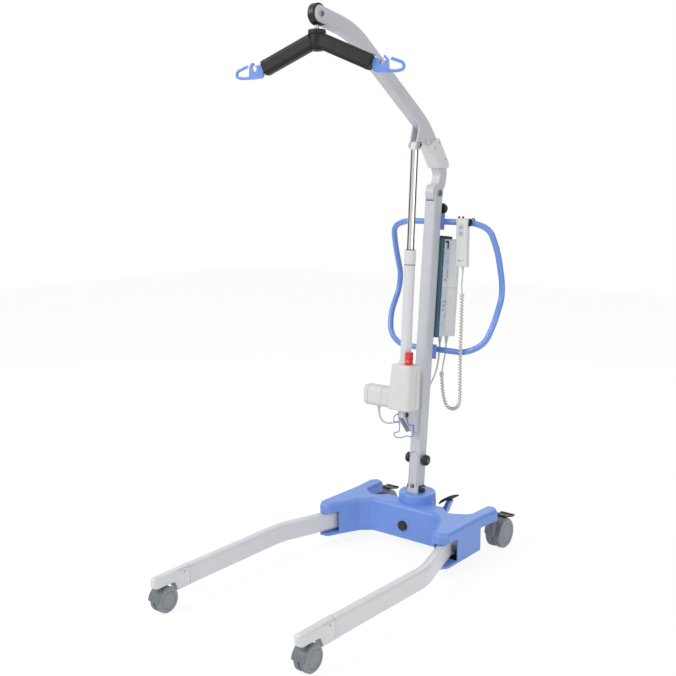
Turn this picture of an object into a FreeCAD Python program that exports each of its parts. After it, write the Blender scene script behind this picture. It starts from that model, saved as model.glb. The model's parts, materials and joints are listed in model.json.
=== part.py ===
import FreeCAD, Part
import math
import os
import re
import Sketcher

# Mobile patient lift: a wheeled base with two opening legs, a leaning mast, a bent boom raised by
# an electric actuator, and a spreader bar with two sling hooks.
# Z is up, the legs point along -Y and +X is the lift's right side. Sizes are in millimetres and degrees.

V = FreeCAD.Vector
X, Y, Z = V(1, 0, 0), V(0, 1, 0), V(0, 0, 1)
SIDES = (("left", -1), ("right", 1))

doc = FreeCAD.newDocument("patient_lift")
sheet = doc.addObject("Spreadsheet::Sheet", "Sizes")
nodes = []

SIZES = {
    # Base cover
    "cover_bottom": 38, "cover_top": 150, "cover_wall": 3, "cover_edge": 14, "lip_top": 46,
    "canopy_under": 117, "cover_side": 254, "front_wall_y": 285, "front_wall_half": 122, "neck_x": 158,
    "neck_y": 254, "nose_inner": 190, "nose_y": 138, "nose_half": 32, "nose_mid": 222,
    "panel_front_y": 217, "panel_rear_y": 358, "rear_wall_y": 366, "rear_wall_half": 110, "tail_y": 478,
    "tail_under": 112, "tail_mid": 235, "tail_half": 27, "pocket_in": 190, "pocket_out": 249.5,
    "turret_y": 370, "turret_radius": 62, "turret_top": 182, "turret_edge": 7,
    # Base frame
    "beam_y": 290, "beam_deep": 55, "beam_low": 46, "beam_high": 68, "beam_half": 120, "beam_wall": 3,
    "plate_thick": 6, "plate_half": 224, "plate_front": 266, "plate_rear": 320, "arm_thick": 14,
    "socket_radius": 6.6, "socket_top": 137, "seat_half": 45, "seat_rear": 400,
    # Legs
    "leg_wide": 30, "leg_high": 64, "leg_low": 49, "leg_round": 12, "leg_wall": 3, "pivot_x": 192.6,
    "pivot_y": 290, "knee_x": 280, "knee_y": -12, "toe_x": 271.4, "toe_y": -430, "knee_bend": 225,
    "hub_radius": 16.5, "hub_gap": 0.3, "bolt_radius": 6, "run_gap": 0.1, "lever_arm": 28,
    "lever_turn": 6.25, "lever_thick": 5.6, "pin_radius": 3, "cap_seam": 418.2, "cap_tip": 551,
    "cap_under": 82, "cap_back": 23, "spigot_low": 88, "spigot_high": 108, "plug_clear": 0.4,
    # Castors
    "small_radius": 37.5, "small_wide": 17, "small_gap": 8, "small_trail": 20, "big_radius": 50,
    "big_wide": 22, "big_gap": 12, "big_trail": 48, "big_x": 238, "big_y": 465, "wheel_side_gap": 0.6,
    "axle_radius": 4, "stem_radius": 5, "stem_gap": 0.1, "hood_gap": 1.6, "hood_thick": 2.6,
    "ring_depth": 1.4, "rim_round": 4.5, "brake_wide": 52, "brake_pin_y": 12, "brake_pin_z": 54,
    "brake_pin": 3,
    # Foot pedal
    "shaft_z": 82, "shaft_radius": 7, "shaft_front": 278, "shaft_rear": 492, "shaft_cap": 16,
    "shaft_cap_long": 6.6, "crank_radius": 13.55, "crank_y": 306, "crank_thick": 8, "pedal_rest": 13,
    "pedal_y": 458, "pedal_thick": 26, "tie_radius": 4, "eye_radius": 6.1, "eye_hole": 3.5,
    "eye_thick": 6, "tread_deep": 50,
    # Mast
    "mast_y": 344.3, "mast_lean": 4.87, "mast_wide": 40, "mast_deep": 45, "mast_wall": 4,
    "mast_round": 4.5, "mast_low": 196.5, "mast_front_top": 1153, "mast_top": 1208, "mast_head_round": 20,
    "pivot_w": 1180, "foot_low": 122, "foot_panel_top": 322, "panel_gap": 0.6, "foot_post_top": 345,
    "foot_clear": 0.3, "knob_w": 294.5, "knob_radius": 18, "knob_wide": 18, "knob_stand": 4,
    "knob_neck": 9, "knob_dome": 7, "knob_gap": 0.3, "rear_knob_w": 1133, "rear_knob_reach": 43,
    "panel_arch": 16,
    # Push handle
    "bar_radius": 10, "top_bar_y": 474, "top_bar_z": 1082, "top_bar_half": 132, "low_bar_y": 450,
    "low_bar_z": 657, "low_bar_half": 130, "flange_wide": 60, "flange_thick": 5, "flange_low_w": 1062,
    "flange_high": 52, "lower_flange_w": 634,
    # Control box and handset
    "back_wide": 60, "back_deep": 15, "box_low_w": 708, "box_seam_w": 871, "box_top_w": 1034,
    "box_half": 30, "box_side_deep": 37, "box_wide_half": 45, "box_far": 122.5, "seam_gap": 0.6,
    "handset_wide": 42, "handset_deep": 24, "handset_high": 155, "handset_x": 110, "handset_y": 447.9,
    "handset_z": 940.5, "handset_edge": 7, "hanger_gap": 1, "key_wide": 15, "key_high": 12,
    "stop_radius": 11, "lead_radius": 2.6, "motor_lead_radius": 3.2, "coil_radius": 6.8, "plug_radius": 6,
    "plug_long": 17,
    # Actuator
    "jack_y": 280.2, "jack_z": 462.7, "jack_lean": 3.17, "case_wide": 85, "case_front": 39,
    "case_back": 37.5, "case_low": 17.8, "case_top": 167.3, "case_top_left": 35, "case_top_right": 40,
    "case_top_deep": 70, "case_round": 13, "case_top_round": 10, "lug_wide": 18, "lug_radius": 13,
    "tube_radius": 18, "tube_top": 495.3, "collar_radius": 19, "collar_top": 534.3, "rod_radius": 12.5,
    "rod_slip": 0.1, "rod_low": 467.3, "rod_top": 849.3, "rod_bore": 7, "screw_radius": 5.5,
    "screw_top": 491.3, "eye_w": 864.6, "eye_half": 9.6, "eye_round": 11, "motor_high": 68,
    "motor_deep": 58, "motor_corner": 20, "motor_far": 148, "motor_w": 50.3, "motor_round": 8,
    "gland_x": 100, "release_high": 40, "release_waist": 26, "release_x": 12,
    "release_wide": 18, "release_v": -24, "release_deep": 26, "bracket_x": 9.6, "bracket_thick": 3,
    "bracket_low": 394, "wire_radius": 1.8, "wire_bend": 5,
    # Boom
    "boom_wide": 32, "boom_high": 46, "boom_wall": 3, "boom_edge": 5, "tip_y": -153, "tip_z": 1658,
    "tip_round": 23, "boom_knee_y": -1.4, "boom_knee_z": 1632.5, "boom_bend_y": 374.1,
    "boom_bend_z": 1385.3, "boom_turn": 277, "boom_root_y": 465.8, "boom_root_z": 1266, "drum_radius": 29,
    "drum_half": 10.6, "drum_gap": 0.6, "knuckle_radius": 30, "knuckle_half": 15.5, "boom_pivot_y": 444.5,
    "boom_pivot_z": 1175.8, "sleeve_wide": 48, "sleeve_edge": 5, "sleeve_long": 95, "lug_y": 328,
    "lug_z": 1326, "lug_in": 11, "lug_thick": 4, "lug_round": 13.6, "hinge_bolt": 7.9,
    # Spreader
    "stud_radius": 6, "stud_top": 1632, "yoke_top": 1616.6, "yoke_low": 1567, "yoke_radius": 17.5,
    "yoke_flange": 23, "yoke_flange_high": 12, "bar_high": 43, "bar_thick": 35, "bar_reach": 164,
    "bar_start": 12, "bar_start_z": 1588, "bar_end_z": 1522, "bar_soft": 11, "spreader_yaw": 14,
    "hook_rod": 4.3, "hook_in": 162, "hook_thick": 10,
}
for row, (name, value) in enumerate(SIZES.items(), 1):
    sheet.set("A%d" % row, name.replace("_", " "))
    sheet.set("B%d" % row, str(value))
    sheet.setAlias("B%d" % row, name)
doc.recompute()


class Reader:
    """Give a named size as a number."""

    def __getattr__(self, name):
        return float(sheet.get(name))


s = Reader()
words = re.compile(r"(?<![\w.])([a-z]+_[a-z_]+)")


def bind(item, prop, rule):
    """Tie one property to an expression of the named sizes."""
    item.setExpression(prop, words.sub(r"Sizes.\1", str(rule)))


def move(item, x, y, z):
    for axis, rule in zip("xyz", (x, y, z)):
        bind(item, "Placement.Base." + axis, rule)
    return item


def turn(axis, angle, at=V()):
    return FreeCAD.Placement(at, FreeCAD.Rotation(axis, angle))


def box(wide, deep, high, x, y, z):
    item = doc.addObject("Part::Box", "Block")
    for prop, rule in zip(("Length", "Width", "Height"), (wide, deep, high)):
        bind(item, prop, rule)
    return move(item, x, y, z)


def rod(radius, long, x, y, z, axis=Z):
    item = doc.addObject("Part::Cylinder", "Round")
    bind(item, "Radius", radius)
    bind(item, "Height", long)
    item.Placement = FreeCAD.Placement(V(), FreeCAD.Rotation(Z, axis))
    return move(item, x, y, z)


def fuse(*items):
    item = doc.addObject("Part::MultiFuse", "Union")
    item.Shapes = list(items)
    return item


def cut(base, *tools):
    """Take each tool from the base in turn."""
    for tool in tools:
        item = doc.addObject("Part::Cut", "Cut")
        item.Base = base
        item.Tool = tool
        base = item
    return base


def common(*items):
    item = doc.addObject("Part::MultiCommon", "Common")
    item.Shapes = list(items)
    return item


def soften(base, radius, pick):
    """Round the edges of a part that pick() chooses."""
    doc.recompute()
    item = doc.addObject("Part::Fillet", "Softened")
    item.Base = base
    found = [n + 1 for n, edge in enumerate(base.Shape.Edges) if pick(edge)]
    item.Edges = [(n, radius, radius) for n in found]
    return item


def along(axis, least=0.999):
    """Pick the straight edges that run along one axis."""
    def pick(edge):
        if edge.Curve.TypeId != "Part::GeomLine":
            return False
        return abs(edge.tangentAt(edge.FirstParameter).dot(axis)) > least
    return pick


def at_height(value, axis=Z):
    """Pick the edges that lie in one plane square to an axis."""
    def pick(edge):
        return all(abs(v.Point.dot(axis) - value) < 0.01 for v in edge.Vertexes)
    return pick


def outline(body, plane, points, start):
    """Draw a closed outline whose corners are held at named sizes."""
    sketch = body.newObject("Sketcher::SketchObject", "Outline")
    base = [o for o in body.Origin.OriginFeatures if o.Role == plane + "_Plane"][0]
    sketch.AttachmentSupport = [(base, "")]
    sketch.MapMode = "FlatFace"
    bind(sketch, "AttachmentOffset.Base.z", start)
    count = len(points)
    rough = [V(math.cos(6.2 * n / count), math.sin(6.2 * n / count), 0) * 9 for n in range(count)]
    for n in range(count):
        sketch.addGeometry(Part.LineSegment(rough[n], rough[(n + 1) % count]))
    for n in range(count):
        sketch.addConstraint(Sketcher.Constraint("Coincident", n, 2, (n + 1) % count, 1))
    for n, (across, up) in enumerate(points):
        for kind, rule in (("DistanceX", across), ("DistanceY", up)):
            start_value = rough[n].x if kind == "DistanceX" else rough[n].y
            index = sketch.addConstraint(Sketcher.Constraint(kind, -1, 1, n, 1, start_value))
            bind(sketch, "Constraints[%d]" % index, rule)
    return sketch


def pad(plane, points, thick, start=0, rounds=()):
    """Pad an outline, then round the named corners of it."""
    body = doc.addObject("PartDesign::Body", "Body")
    sketch = outline(body, plane, points, start)
    tip = body.newObject("PartDesign::Pad", "Pad")
    tip.Profile = sketch
    bind(tip, "Length", thick)
    doc.recompute()
    normal = {"XY": Z, "XZ": -Y, "YZ": X}[plane]
    for radius, corners in rounds:
        spots = [sketch.getPoint(n, 1) for n in corners]
        names = []
        for n, edge in enumerate(tip.Shape.Edges):
            if edge.Curve.TypeId != "Part::GeomLine" or len(edge.Vertexes) != 2:
                continue
            if abs(edge.tangentAt(edge.FirstParameter).dot(normal)) < 0.999:
                continue
            spot = edge.Vertexes[0].Point
            flat = V(spot.x, spot.dot(Y if plane == "XY" else Z), 0)
            if plane == "YZ":
                flat = V(spot.y, spot.z, 0)
            if any((flat - corner).Length < 0.01 for corner in spots):
                names.append("Edge%d" % (n + 1))
        fillet = body.newObject("PartDesign::Fillet", "Corner")
        fillet.Base = (tip, names)
        bind(fillet, "Radius", radius)
        doc.recompute()
        tip = fillet
    return body


def revolve(points, plane="XZ", axis="H_Axis"):
    """Turn an outline right round the sketch's own axis."""
    body = doc.addObject("PartDesign::Body", "Body")
    sketch = outline(body, plane, points, 0)
    spin = body.newObject("PartDesign::Revolution", "Revolution")
    spin.Profile = sketch
    spin.ReferenceAxis = (sketch, [axis])
    spin.Angle = 360
    return body


def bends(points, radius=None, least=0.45):
    """Join straight runs by tangent arcs and give the wire with its arc radii."""
    spots = [V(*p) for p in points]
    edges, radii, last = [], [], spots[0]
    for a, b, c in zip(spots, spots[1:], spots[2:]):
        into, out = (b - a).normalize(), (c - b).normalize()
        half = into.getAngle(out) / 2
        reach = least * min((b - a).Length, (c - b).Length)
        if radius:
            reach = min(reach, radius * math.tan(half))
        size = reach / math.tan(half)
        begin, end = b - into * reach, b + out * reach
        middle = b + (out - into).normalize() * (size / math.cos(half) - size)
        if (begin - last).Length > 0.001:
            edges.append(Part.LineSegment(last, begin).toShape())
        edges.append(Part.Arc(begin, middle, end).toShape())
        radii.append(round(size, 1))
        last = end
    edges.append(Part.LineSegment(last, spots[-1]).toShape())
    return Part.Wire(edges), radii


def swept(wire, section):
    return wire.makePipeShell([section], True, False)


def round_section(radius, at, along_way):
    return Part.Wire([Part.Circle(at, along_way, radius).toShape()])


def pipe(points, radius, bend=None):
    """Sweep a round section along straight runs and tangent arcs."""
    wire, radii = bends(points, bend)
    way = V(*points[1]) - V(*points[0])
    return swept(wire, round_section(radius, V(*points[0]), way)), wire.Length, radii


def feature(shape):
    item = doc.addObject("Part::Feature", "Swept")
    item.Shape = shape
    return item


def hold(item, placement):
    """Carry a part whose own position is bound, so that it can be turned as well."""
    holder = doc.addObject("Part::Compound", "Holder")
    holder.Links = [item]
    holder.Placement = placement
    return holder


def node(label, item, placement=None):
    """Name a finished sub-part; its label names its file."""
    if placement is not None:
        item = hold(item, placement)
    item.Label = label
    nodes.append(item)
    return item


def mast_frame():
    return turn(X, -s.mast_lean, V(0, s.mast_y, 0))


def jack_frame():
    return turn(X, -s.jack_lean, V(0, s.jack_y, s.jack_z))


def spreader_frame():
    return turn(Z, s.spreader_yaw, V(0, s.tip_y, 0))


# ---------------------------------------------------------------- base

def cover_points():
    right = [
        ("nose_mid - nose_half", "nose_y + 44"), ("nose_mid - 17", "nose_y + 4"),
        ("nose_mid + 14", "nose_y"), ("cover_side", "nose_y + 26"),
        ("cover_side", "panel_rear_y"), ("tail_mid + tail_half", "tail_y - 26"),
        ("tail_mid + 6", "tail_y"), ("tail_mid - 24", "tail_y - 10"),
        ("tail_mid - tail_half", "panel_rear_y + 6"), ("rear_wall_half + 42", "rear_wall_y - 38"),
        ("rear_wall_half", "rear_wall_y"),
    ]
    left = [("-(%s)" % a, b) for a, b in reversed(right)]
    front = [("front_wall_half", "front_wall_y"), ("neck_x", "neck_y")]
    back = [("-(%s)" % a, b) for a, b in reversed(front)]
    return front + right + left + back


def base_cover():
    points = cover_points()
    last = len(points) - 1
    rounds = [(12, (4, last - 4, 3, last - 3)), (15, (5, 8, 9, last - 5, last - 8, last - 9))]
    rounds += [(22, (0, 1, last, last - 1)), (24, (10, 11, last - 10, last - 11))]
    outer = soften(pad("XY", points, "cover_top - cover_bottom", "cover_bottom", rounds),
                   s.cover_edge, at_height(s.cover_top))
    turret = rod("turret_radius", "turret_top - cover_bottom", 0, "turret_y", "cover_bottom")
    turret = soften(turret, s.turret_edge, at_height(s.turret_top))
    doc.recompute()
    flat = outer.Base.Shape.section(Part.makePlane(900, 900, V(-450, 0, 60))).Edges
    floor = Part.Face(Part.Wire(Part.__sortEdges__(flat)))
    levels = []
    for inset, top in ((s.cover_wall, s.cover_top - 12), (s.cover_wall + 6, s.cover_top - s.cover_wall)):
        inside = floor.makeOffset2D(-inset).translated(V(0, 0, -30))
        levels.append(feature(inside.extrude(V(0, 0, top - 30))))
    hollow = fuse(*levels)
    rear = box(600, 300, 200, -300, "panel_front_y", 0)
    nose = box(600, 200, 200, -300, "panel_front_y - 200", "canopy_under + 0.01")
    turret_in = rod("turret_radius - cover_wall", "turret_top - cover_wall", 0, "turret_y", 0)
    tools = [common(hollow, rear), common(hollow, nose), turret_in]
    for _, side in SIDES:
        low = "pocket_in" if side > 0 else "-pocket_out"
        tools.append(box("pocket_out - pocket_in", 200, "canopy_under - lip_top", low, 100, "lip_top"))
        low = "pocket_out - 5" if side > 0 else "-pocket_out - 15"
        tools.append(box(20, "panel_front_y - 100", "canopy_under - lip_top", low, 100, "lip_top"))
        low = 100 if side > 0 else -300
        tools.append(box(200, 200, "tail_under", low, "panel_rear_y", 0))
        tools.append(rod("socket_radius + 0.3", "socket_top - tail_under + 0.5", "%d * big_x" % side,
                         "big_y", "tail_under"))
    tools.append(rod("shaft_radius + 0.4", 260, 0, 250, "shaft_z", Y))
    tools.append(foot_block(s.panel_gap + 0.4))
    node("base_cover", cut(fuse(outer, turret), *tools))


def foot_block(extra):
    """The mast foot's outside, used for the opening in the turret too."""
    half = "mast_wide / 2 + %s" % extra
    deep = "mast_deep / 2 + %s" % extra
    item = box("2 * (%s)" % half, "2 * (%s)" % deep, "mast_low - 0.8 - foot_low", "-(%s)" % half,
               "-(%s)" % deep, "foot_low")
    return hold(item, mast_frame())


def plate_points():
    right = [("beam_half", "beam_y"), ("plate_half - 58", "plate_front"), ("plate_half", "plate_front"),
             ("plate_half", "plate_rear")]
    return right + [("-(%s)" % a, b) for a, b in reversed(right)]


def base_frame():
    beam = box("2 * beam_half", "beam_deep", "beam_high", "-beam_half", "beam_y", "beam_low")
    inner = box("2 * beam_half + 2", "beam_deep - 2 * beam_wall", "beam_high - 2 * beam_wall",
                "-beam_half - 1", "beam_y + beam_wall", "beam_low + beam_wall")
    shaft = rod("shaft_radius + run_gap", 200, 0, 280, "shaft_z", Y)
    items = [cut(beam, inner, shaft)]
    rounds = [(8, (2, 3, 4, 5))]
    for low in ("beam_low + beam_high", "beam_low - plate_thick"):
        items.append(pad("XY", plate_points(), "plate_thick", low, rounds))
    seat = box("2 * seat_half", "seat_rear - plate_rear", "plate_thick", "-seat_half", "plate_rear",
               "beam_low + beam_high")
    items.append(seat)
    for side in (-1, 1):
        items.append(box(5, "seat_rear - beam_y - beam_deep", 50, "%d * (seat_half - 2.5) - 2.5" % side,
                         "beam_y + beam_deep", "beam_low + beam_high - 50"))
        near, far = "%d * (pivot_x + 9)" % side, "%d * (pivot_x + 30)" % side
        toe, heel = "%d * (big_x + 9)" % side, "%d * (big_x - 9)" % side
        arm = [(near, "pivot_y + 14"), (far, "pivot_y + 14"), (toe, "big_y"), (heel, "big_y")]
        items.append(pad("XY", arm if side > 0 else arm[::-1], "arm_thick",
                         "beam_low + beam_high + plate_thick"))
        items.append(rod("socket_radius", "socket_top - tail_under - 0.5", "%d * big_x" % side, "big_y",
                         "tail_under + 0.5"))
    holes = []
    for side in (-1, 1):
        holes.append(rod("bolt_radius", 120, "%d * pivot_x" % side, "pivot_y", 30))
        holes.append(rod("stem_radius + stem_gap", "socket_top - tail_under - 3", "%d * big_x" % side,
                         "big_y", "tail_under"))
    node("base_frame", cut(fuse(*items), *holes))


def pivot_bolts():
    """The root's hinge bolts: two for the legs, one for the boom and one for the actuator's foot."""
    items = []
    for side in (-1, 1):
        x = "%d * pivot_x" % side
        items.append(rod("bolt_radius", "beam_high + 2 * plate_thick + 8", x, "pivot_y",
                         "beam_low - plate_thick - 4"))
        items.append(rod("bolt_radius + 4", 7, x, "pivot_y", "beam_low + beam_high + plate_thick"))
        items.append(rod("bolt_radius + 4", 6, x, "pivot_y", "beam_low - plate_thick - 6"))
    head = [rod("hinge_bolt", "mast_wide", "-mast_wide / 2", 0, "pivot_w", X)]
    for side in (-1, 1):
        x = "mast_wide / 2" if side > 0 else "-mast_wide / 2 - 4.5"
        head.append(soften(rod(11.5, 4.5, x, 0, "pivot_w", X), 1.5,
                           at_height(side * (s.mast_wide / 2 + 4.5), X)))
    items.append(hold(fuse(*head), mast_frame()))
    items.append(rod("bolt_radius", "2 * bracket_x + 2 * bracket_thick", "-bracket_x - bracket_thick",
                     "jack_y", "jack_z", X))
    for x in ("bracket_x + bracket_thick", "-bracket_x - bracket_thick - 3"):
        items.append(rod("bolt_radius + 4", 3, x, "jack_y", "jack_z", X))
    node("pivot_bolts", fuse(*items))


# ---------------------------------------------------------------- legs

def leg_section(grow, at, way):
    """A rounded upright rectangle across the leg's way."""
    across = way.cross(Z).normalize()
    half, high, round_in = s.leg_wide / 2 - grow, s.leg_high / 2 - grow, s.leg_round - grow
    corners = [(-half, -high), (half, -high), (half, high), (-half, high)]
    edges = []
    spots = [at + across * a + Z * b for a, b in corners]
    for n in range(4):
        a, b, c = spots[n - 1], spots[n], spots[(n + 1) % 4]
        start, end = b + (a - b).normalize() * round_in, b + (c - b).normalize() * round_in
        centre = start + end - b
        middle = centre + (b - centre).normalize() * round_in
        following = c + (b - c).normalize() * round_in
        edges.append(Part.Arc(start, middle, end).toShape())
        edges.append(Part.LineSegment(end, following).toShape())
    return Part.Wire(edges)


def leg(name, side):
    middle = s.leg_low + s.leg_high / 2
    toe = (side * s.toe_x, s.toe_y, middle)
    knee = (side * s.knee_x, s.knee_y, middle)
    pivot = (side * s.pivot_x, s.pivot_y, middle)
    wire, _ = bends([toe, knee, pivot], s.knee_bend)
    way = V(*knee) - V(*toe)
    outer = swept(wire, leg_section(0, V(*toe), way))
    inner = swept(wire, leg_section(s.leg_wall, V(*toe), way))
    tube = feature(outer.cut(inner))
    hub = rod("hub_radius", "beam_high - 2 * hub_gap", 0, 0, "beam_low + hub_gap")
    eye_z = "shaft_z - %d * (crank_radius * cos(pedal_rest)) - eye_thick / 2 - 0.4" % side
    lever = box(14, "lever_arm + 7", "lever_thick", -7, 0, "%s - lever_thick" % eye_z)
    pin = rod("pin_radius", "lever_thick + eye_thick + 1", 0, "lever_arm", "%s - lever_thick" % eye_z)
    crank = cut(fuse(lever, hub, pin), rod("bolt_radius + run_gap", 200, 0, 0, 0))
    crank.Placement = turn(Z, -side * s.lever_turn, V(side * s.pivot_x, s.pivot_y, 0))
    bore = rod("bolt_radius + run_gap", 200, "%d * pivot_x" % side, "pivot_y", 0)
    plug = box("leg_wide - 2 * leg_wall", 66, "leg_high - 2 * leg_wall", "leg_wall - leg_wide / 2",
               "-cap_seam - 46", "leg_low + leg_wall")
    tongue = box("leg_wide - 2 * leg_wall", "cap_tip - cap_seam - 12", "spigot_high - spigot_low",
                 "leg_wall - leg_wide / 2", "-cap_tip + 9", "spigot_low")
    stem_hole = rod("stem_radius - 1.3 + stem_gap", 25, 0, "cap_back - cap_tip", "spigot_low - 1")
    tongue = cut(fuse(plug, tongue), stem_hole)
    tongue.Placement = leg_frame(side)
    node("leg_" + name, fuse(cut(tube, bore), crank, tongue))


def leg_frame(side):
    """The frame of the leg's straight front: origin at the knee, -Y forward along the tube."""
    angle = math.degrees(math.atan2(s.knee_x - s.toe_x, s.knee_y - s.toe_y))
    return turn(Z, -side * angle, V(side * s.knee_x, s.knee_y, 0))


def leg_cap(name, side):
    block = box("leg_wide", "cap_tip - cap_seam", "leg_high", "-leg_wide / 2", "-cap_tip", "leg_low")
    block = soften(block, s.leg_round, along(Y))
    side_view = [
        ("-cap_seam", "leg_low"), ("-cap_seam", "leg_low + leg_high"), ("-cap_tip", "leg_low + leg_high"),
        ("-cap_tip", "cap_under"), ("-cap_tip + 73", "cap_under"), ("-cap_tip + 87", "leg_low"),
    ]
    profile = pad("YZ", side_view, "leg_wide", "-leg_wide / 2", [(10, (2,)), (8, (4,)), (3, (3,))])
    top_view = [("leg_wide / 2", "-cap_seam"), ("-leg_wide / 2", "-cap_seam"),
                ("-leg_wide / 2", "-cap_tip"), ("leg_wide / 2", "-cap_tip")]
    plan = pad("XY", top_view, 90, 40, [(13, (2, 3))])
    room = box("leg_wide - 2 * leg_wall + 2 * plug_clear", 80, "leg_high - 2 * leg_wall + 2 * plug_clear",
               "leg_wall - plug_clear - leg_wide / 2", "-cap_seam - 46 - plug_clear",
               "leg_low + leg_wall - plug_clear")
    slot = box("leg_wide - 2 * leg_wall + 2 * plug_clear", 120,
               "spigot_high - spigot_low + 2 * plug_clear", "leg_wall - plug_clear - leg_wide / 2",
               "-cap_tip + 9 - plug_clear", "spigot_low - plug_clear")
    hole = rod("stem_radius + 2", 20, 0, "cap_back - cap_tip", "cap_under - 10")
    node("leg_cap_" + name, cut(common(block, profile, plan), room, slot, hole), leg_frame(side))


# ---------------------------------------------------------------- castors

def wheel_profile(size):
    near, far = "%s_gap / 2" % size, "%s_gap / 2 + %s_wide" % (size, size)
    tread = "%s_radius" % size
    return [
        (near, 0), (near, "%s - 1.5" % tread), ("%s + 1.5" % near, tread),
        ("%s - rim_round" % far, tread), (far, "%s - rim_round" % tread), (far, "%s * 0.72" % tread),
        ("%s - ring_depth" % far, "%s * 0.72 - ring_depth" % tread),
        ("%s - ring_depth" % far, "%s * 0.62 + ring_depth" % tread), (far, "%s * 0.62" % tread),
        (far, 0),
    ]


def stem_spot(size, side):
    """Where a castor's stem stands: under the leg's cap in front, under the base's tail behind."""
    if size == "small":
        return leg_frame(side).multVec(V(0, s.cap_back - s.cap_tip, 0))
    return V(side * s.big_x, s.big_y, 0)


def castor(name, size, side, top):
    """One twin-wheel castor: the fork turns on its stem, the wheel pair on its axle."""
    axle_z, wide = "%s_radius" % size, "2 * %s_wide + %s_gap" % (size, size)
    centre = stem_spot(size, side) + V(0, getattr(s, size + "_trail"), getattr(s, size + "_radius"))
    right, left = revolve(wheel_profile(size)), revolve(wheel_profile(size))
    left.Placement = turn(Z, 180)
    axle = rod("axle_radius", "%s_gap + 2" % size, "-%s_gap / 2 - 1" % size, 0, 0, X)
    node("wheels_" + name, fuse(right, left, axle), FreeCAD.Placement(centre, FreeCAD.Rotation()))

    thin = "(%s_gap / 2 - wheel_side_gap)" % size
    web = rod("%s_radius - 4" % size, "2 * " + thin, "-" + thin, 0, 0, X)
    inside = "%s_radius + hood_gap" % size
    shell = cut(rod(inside + " + hood_thick", wide, "-(%s) / 2" % wide, 0, 0, X),
                rod(inside, "%s + 2" % wide, "-(%s) / 2 - 1" % wide, 0, 0, X))
    front = box(wide, "%s_radius + 10" % size, "%s_radius + 10" % size, "-(%s) / 2" % wide,
                "-%s_radius - 9" % size, "%s_radius * 0.1" % size)
    hood = common(shell, front)
    link = box("2 * " + thin, "%s_radius + hood_gap + 1" % size, "%s_radius * 0.8" % size, "-" + thin,
               "-%s_radius - hood_gap" % size, "%s_radius * 0.12" % size)
    link = common(link, rod(inside + " + hood_thick", wide, "-(%s) / 2" % wide, 0, 0, X))
    rise = "%s - 1 - %s" % (top, axle_z)
    boss = cut(rod("%s_wide * 0.62" % size, rise, 0, "-%s_trail" % size, 0),
               rod(inside, "%s + 2" % wide, "-(%s) / 2 - 1" % wide, 0, 0, X))
    stem_round, stem_long = "stem_radius - 1.3", "%s + 24" % rise
    if size == "big":
        stem_round, stem_long = "stem_radius", "socket_top - 3.5 - big_radius"
    stem = rod(stem_round, stem_long, 0, "-%s_trail" % size, 0)
    stem = cut(stem, rod(inside, "%s + 2" % wide, "-(%s) / 2 - 1" % wide, 0, 0, X))
    bore = rod("axle_radius + stem_gap", "%s_gap * 2" % size, "-%s_gap" % size, 0, 0, X)
    fork = [web, hood, link, boss, stem]
    cuts = [bore]
    if size == "big":
        fork.append(rod("brake_pin", 12, -6, "brake_pin_y", "brake_pin_z", X))
        fork.append(box(8, 22, 6, -4, -8, 49))
    node("fork_" + name, cut(fuse(*fork), *cuts), FreeCAD.Placement(centre, FreeCAD.Rotation()))


def brake(name, side):
    """The rear castor's brake pedal, hinged on a pin above the wheels."""
    plate = pad("YZ", [(-6, 60), (-2, 61), (44, 49), (56, 50.5), (56, 46.5), (42, 45), (-6, 56)],
                "brake_wide", "-brake_wide / 2", [(2, (2, 5))])
    hinges = rod(5, 29, -14.5, "brake_pin_y", "brake_pin_z", X)
    tools = [rod("brake_pin + 0.1", 60, -30, "brake_pin_y", "brake_pin_z", X),
             box(13, 14, 20, -6.5, "brake_pin_y - 6", 45), box(13, 28, 12.5, -6.5, -8, 45)]
    centre = stem_spot("big", side) + V(0, s.big_trail, s.big_radius)
    node("brake_" + name, cut(fuse(plate, hinges), *tools),
         FreeCAD.Placement(centre, FreeCAD.Rotation()))


# ---------------------------------------------------------------- foot pedal

def pedal_shaft():
    shaft = rod("shaft_radius", "shaft_rear - shaft_front", 0, "shaft_front", 0, Y)
    cap = rod("shaft_cap", "shaft_cap_long", 0, "shaft_front - 0.1", 0, Y)
    doc.recompute()
    cap = soften(cap, 2.5, at_height(s.shaft_front - 0.1, Y))
    arm = box(12, "crank_thick", "2 * crank_radius + 12", -6, "crank_y", "-crank_radius - 6")
    pins = [rod("pin_radius", "crank_thick + eye_thick + 2", 0, "crank_y",
                "%d * crank_radius" % end, Y) for end in (-1, 1)]
    node("pedal_shaft", fuse(shaft, cap, arm, *pins), turn(Y, -s.pedal_rest, V(0, 0, s.shaft_z)))


def foot_pedal():
    right = [(13, -11), (46, -12), (56, -7), (84, 33), (73, 40), (48, 7), (13, 12)]
    left = [(-a, b) for a, b in reversed(right)]
    arms = pad("XZ", right + left, "pedal_thick", "-pedal_y - pedal_thick", [(5, (1, 2, 5))])
    hub = rod("shaft_radius + 7", "pedal_thick", 0, "pedal_y", 0, Y)
    bore = rod("shaft_radius", 100, 0, "pedal_y - 20", 0, Y)
    node("foot_pedal", cut(fuse(arms, hub), bore), turn(Y, -s.pedal_rest, V(0, 0, s.shaft_z)))
    top = [(44, 33), (60, 42.5), (80, 48), (100, 49), (100, 44), (81, 43), (63, 37.5), (48, 29)]
    treads = []
    for side in (-1, 1):
        points = [(side * a, b) for a, b in (top if side > 0 else reversed(top))]
        deep = pad("XZ", points, "tread_deep", "-pedal_y - pedal_thick / 2 - tread_deep / 2")
        treads.append(deep)
    room = pad("XZ", right + left, "pedal_thick + 0.2", "-pedal_y - pedal_thick - 0.1",
               [(5, (1, 2, 5))])
    node("pedal_treads", cut(fuse(*treads), room), turn(Y, -s.pedal_rest, V(0, 0, s.shaft_z)))


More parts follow.
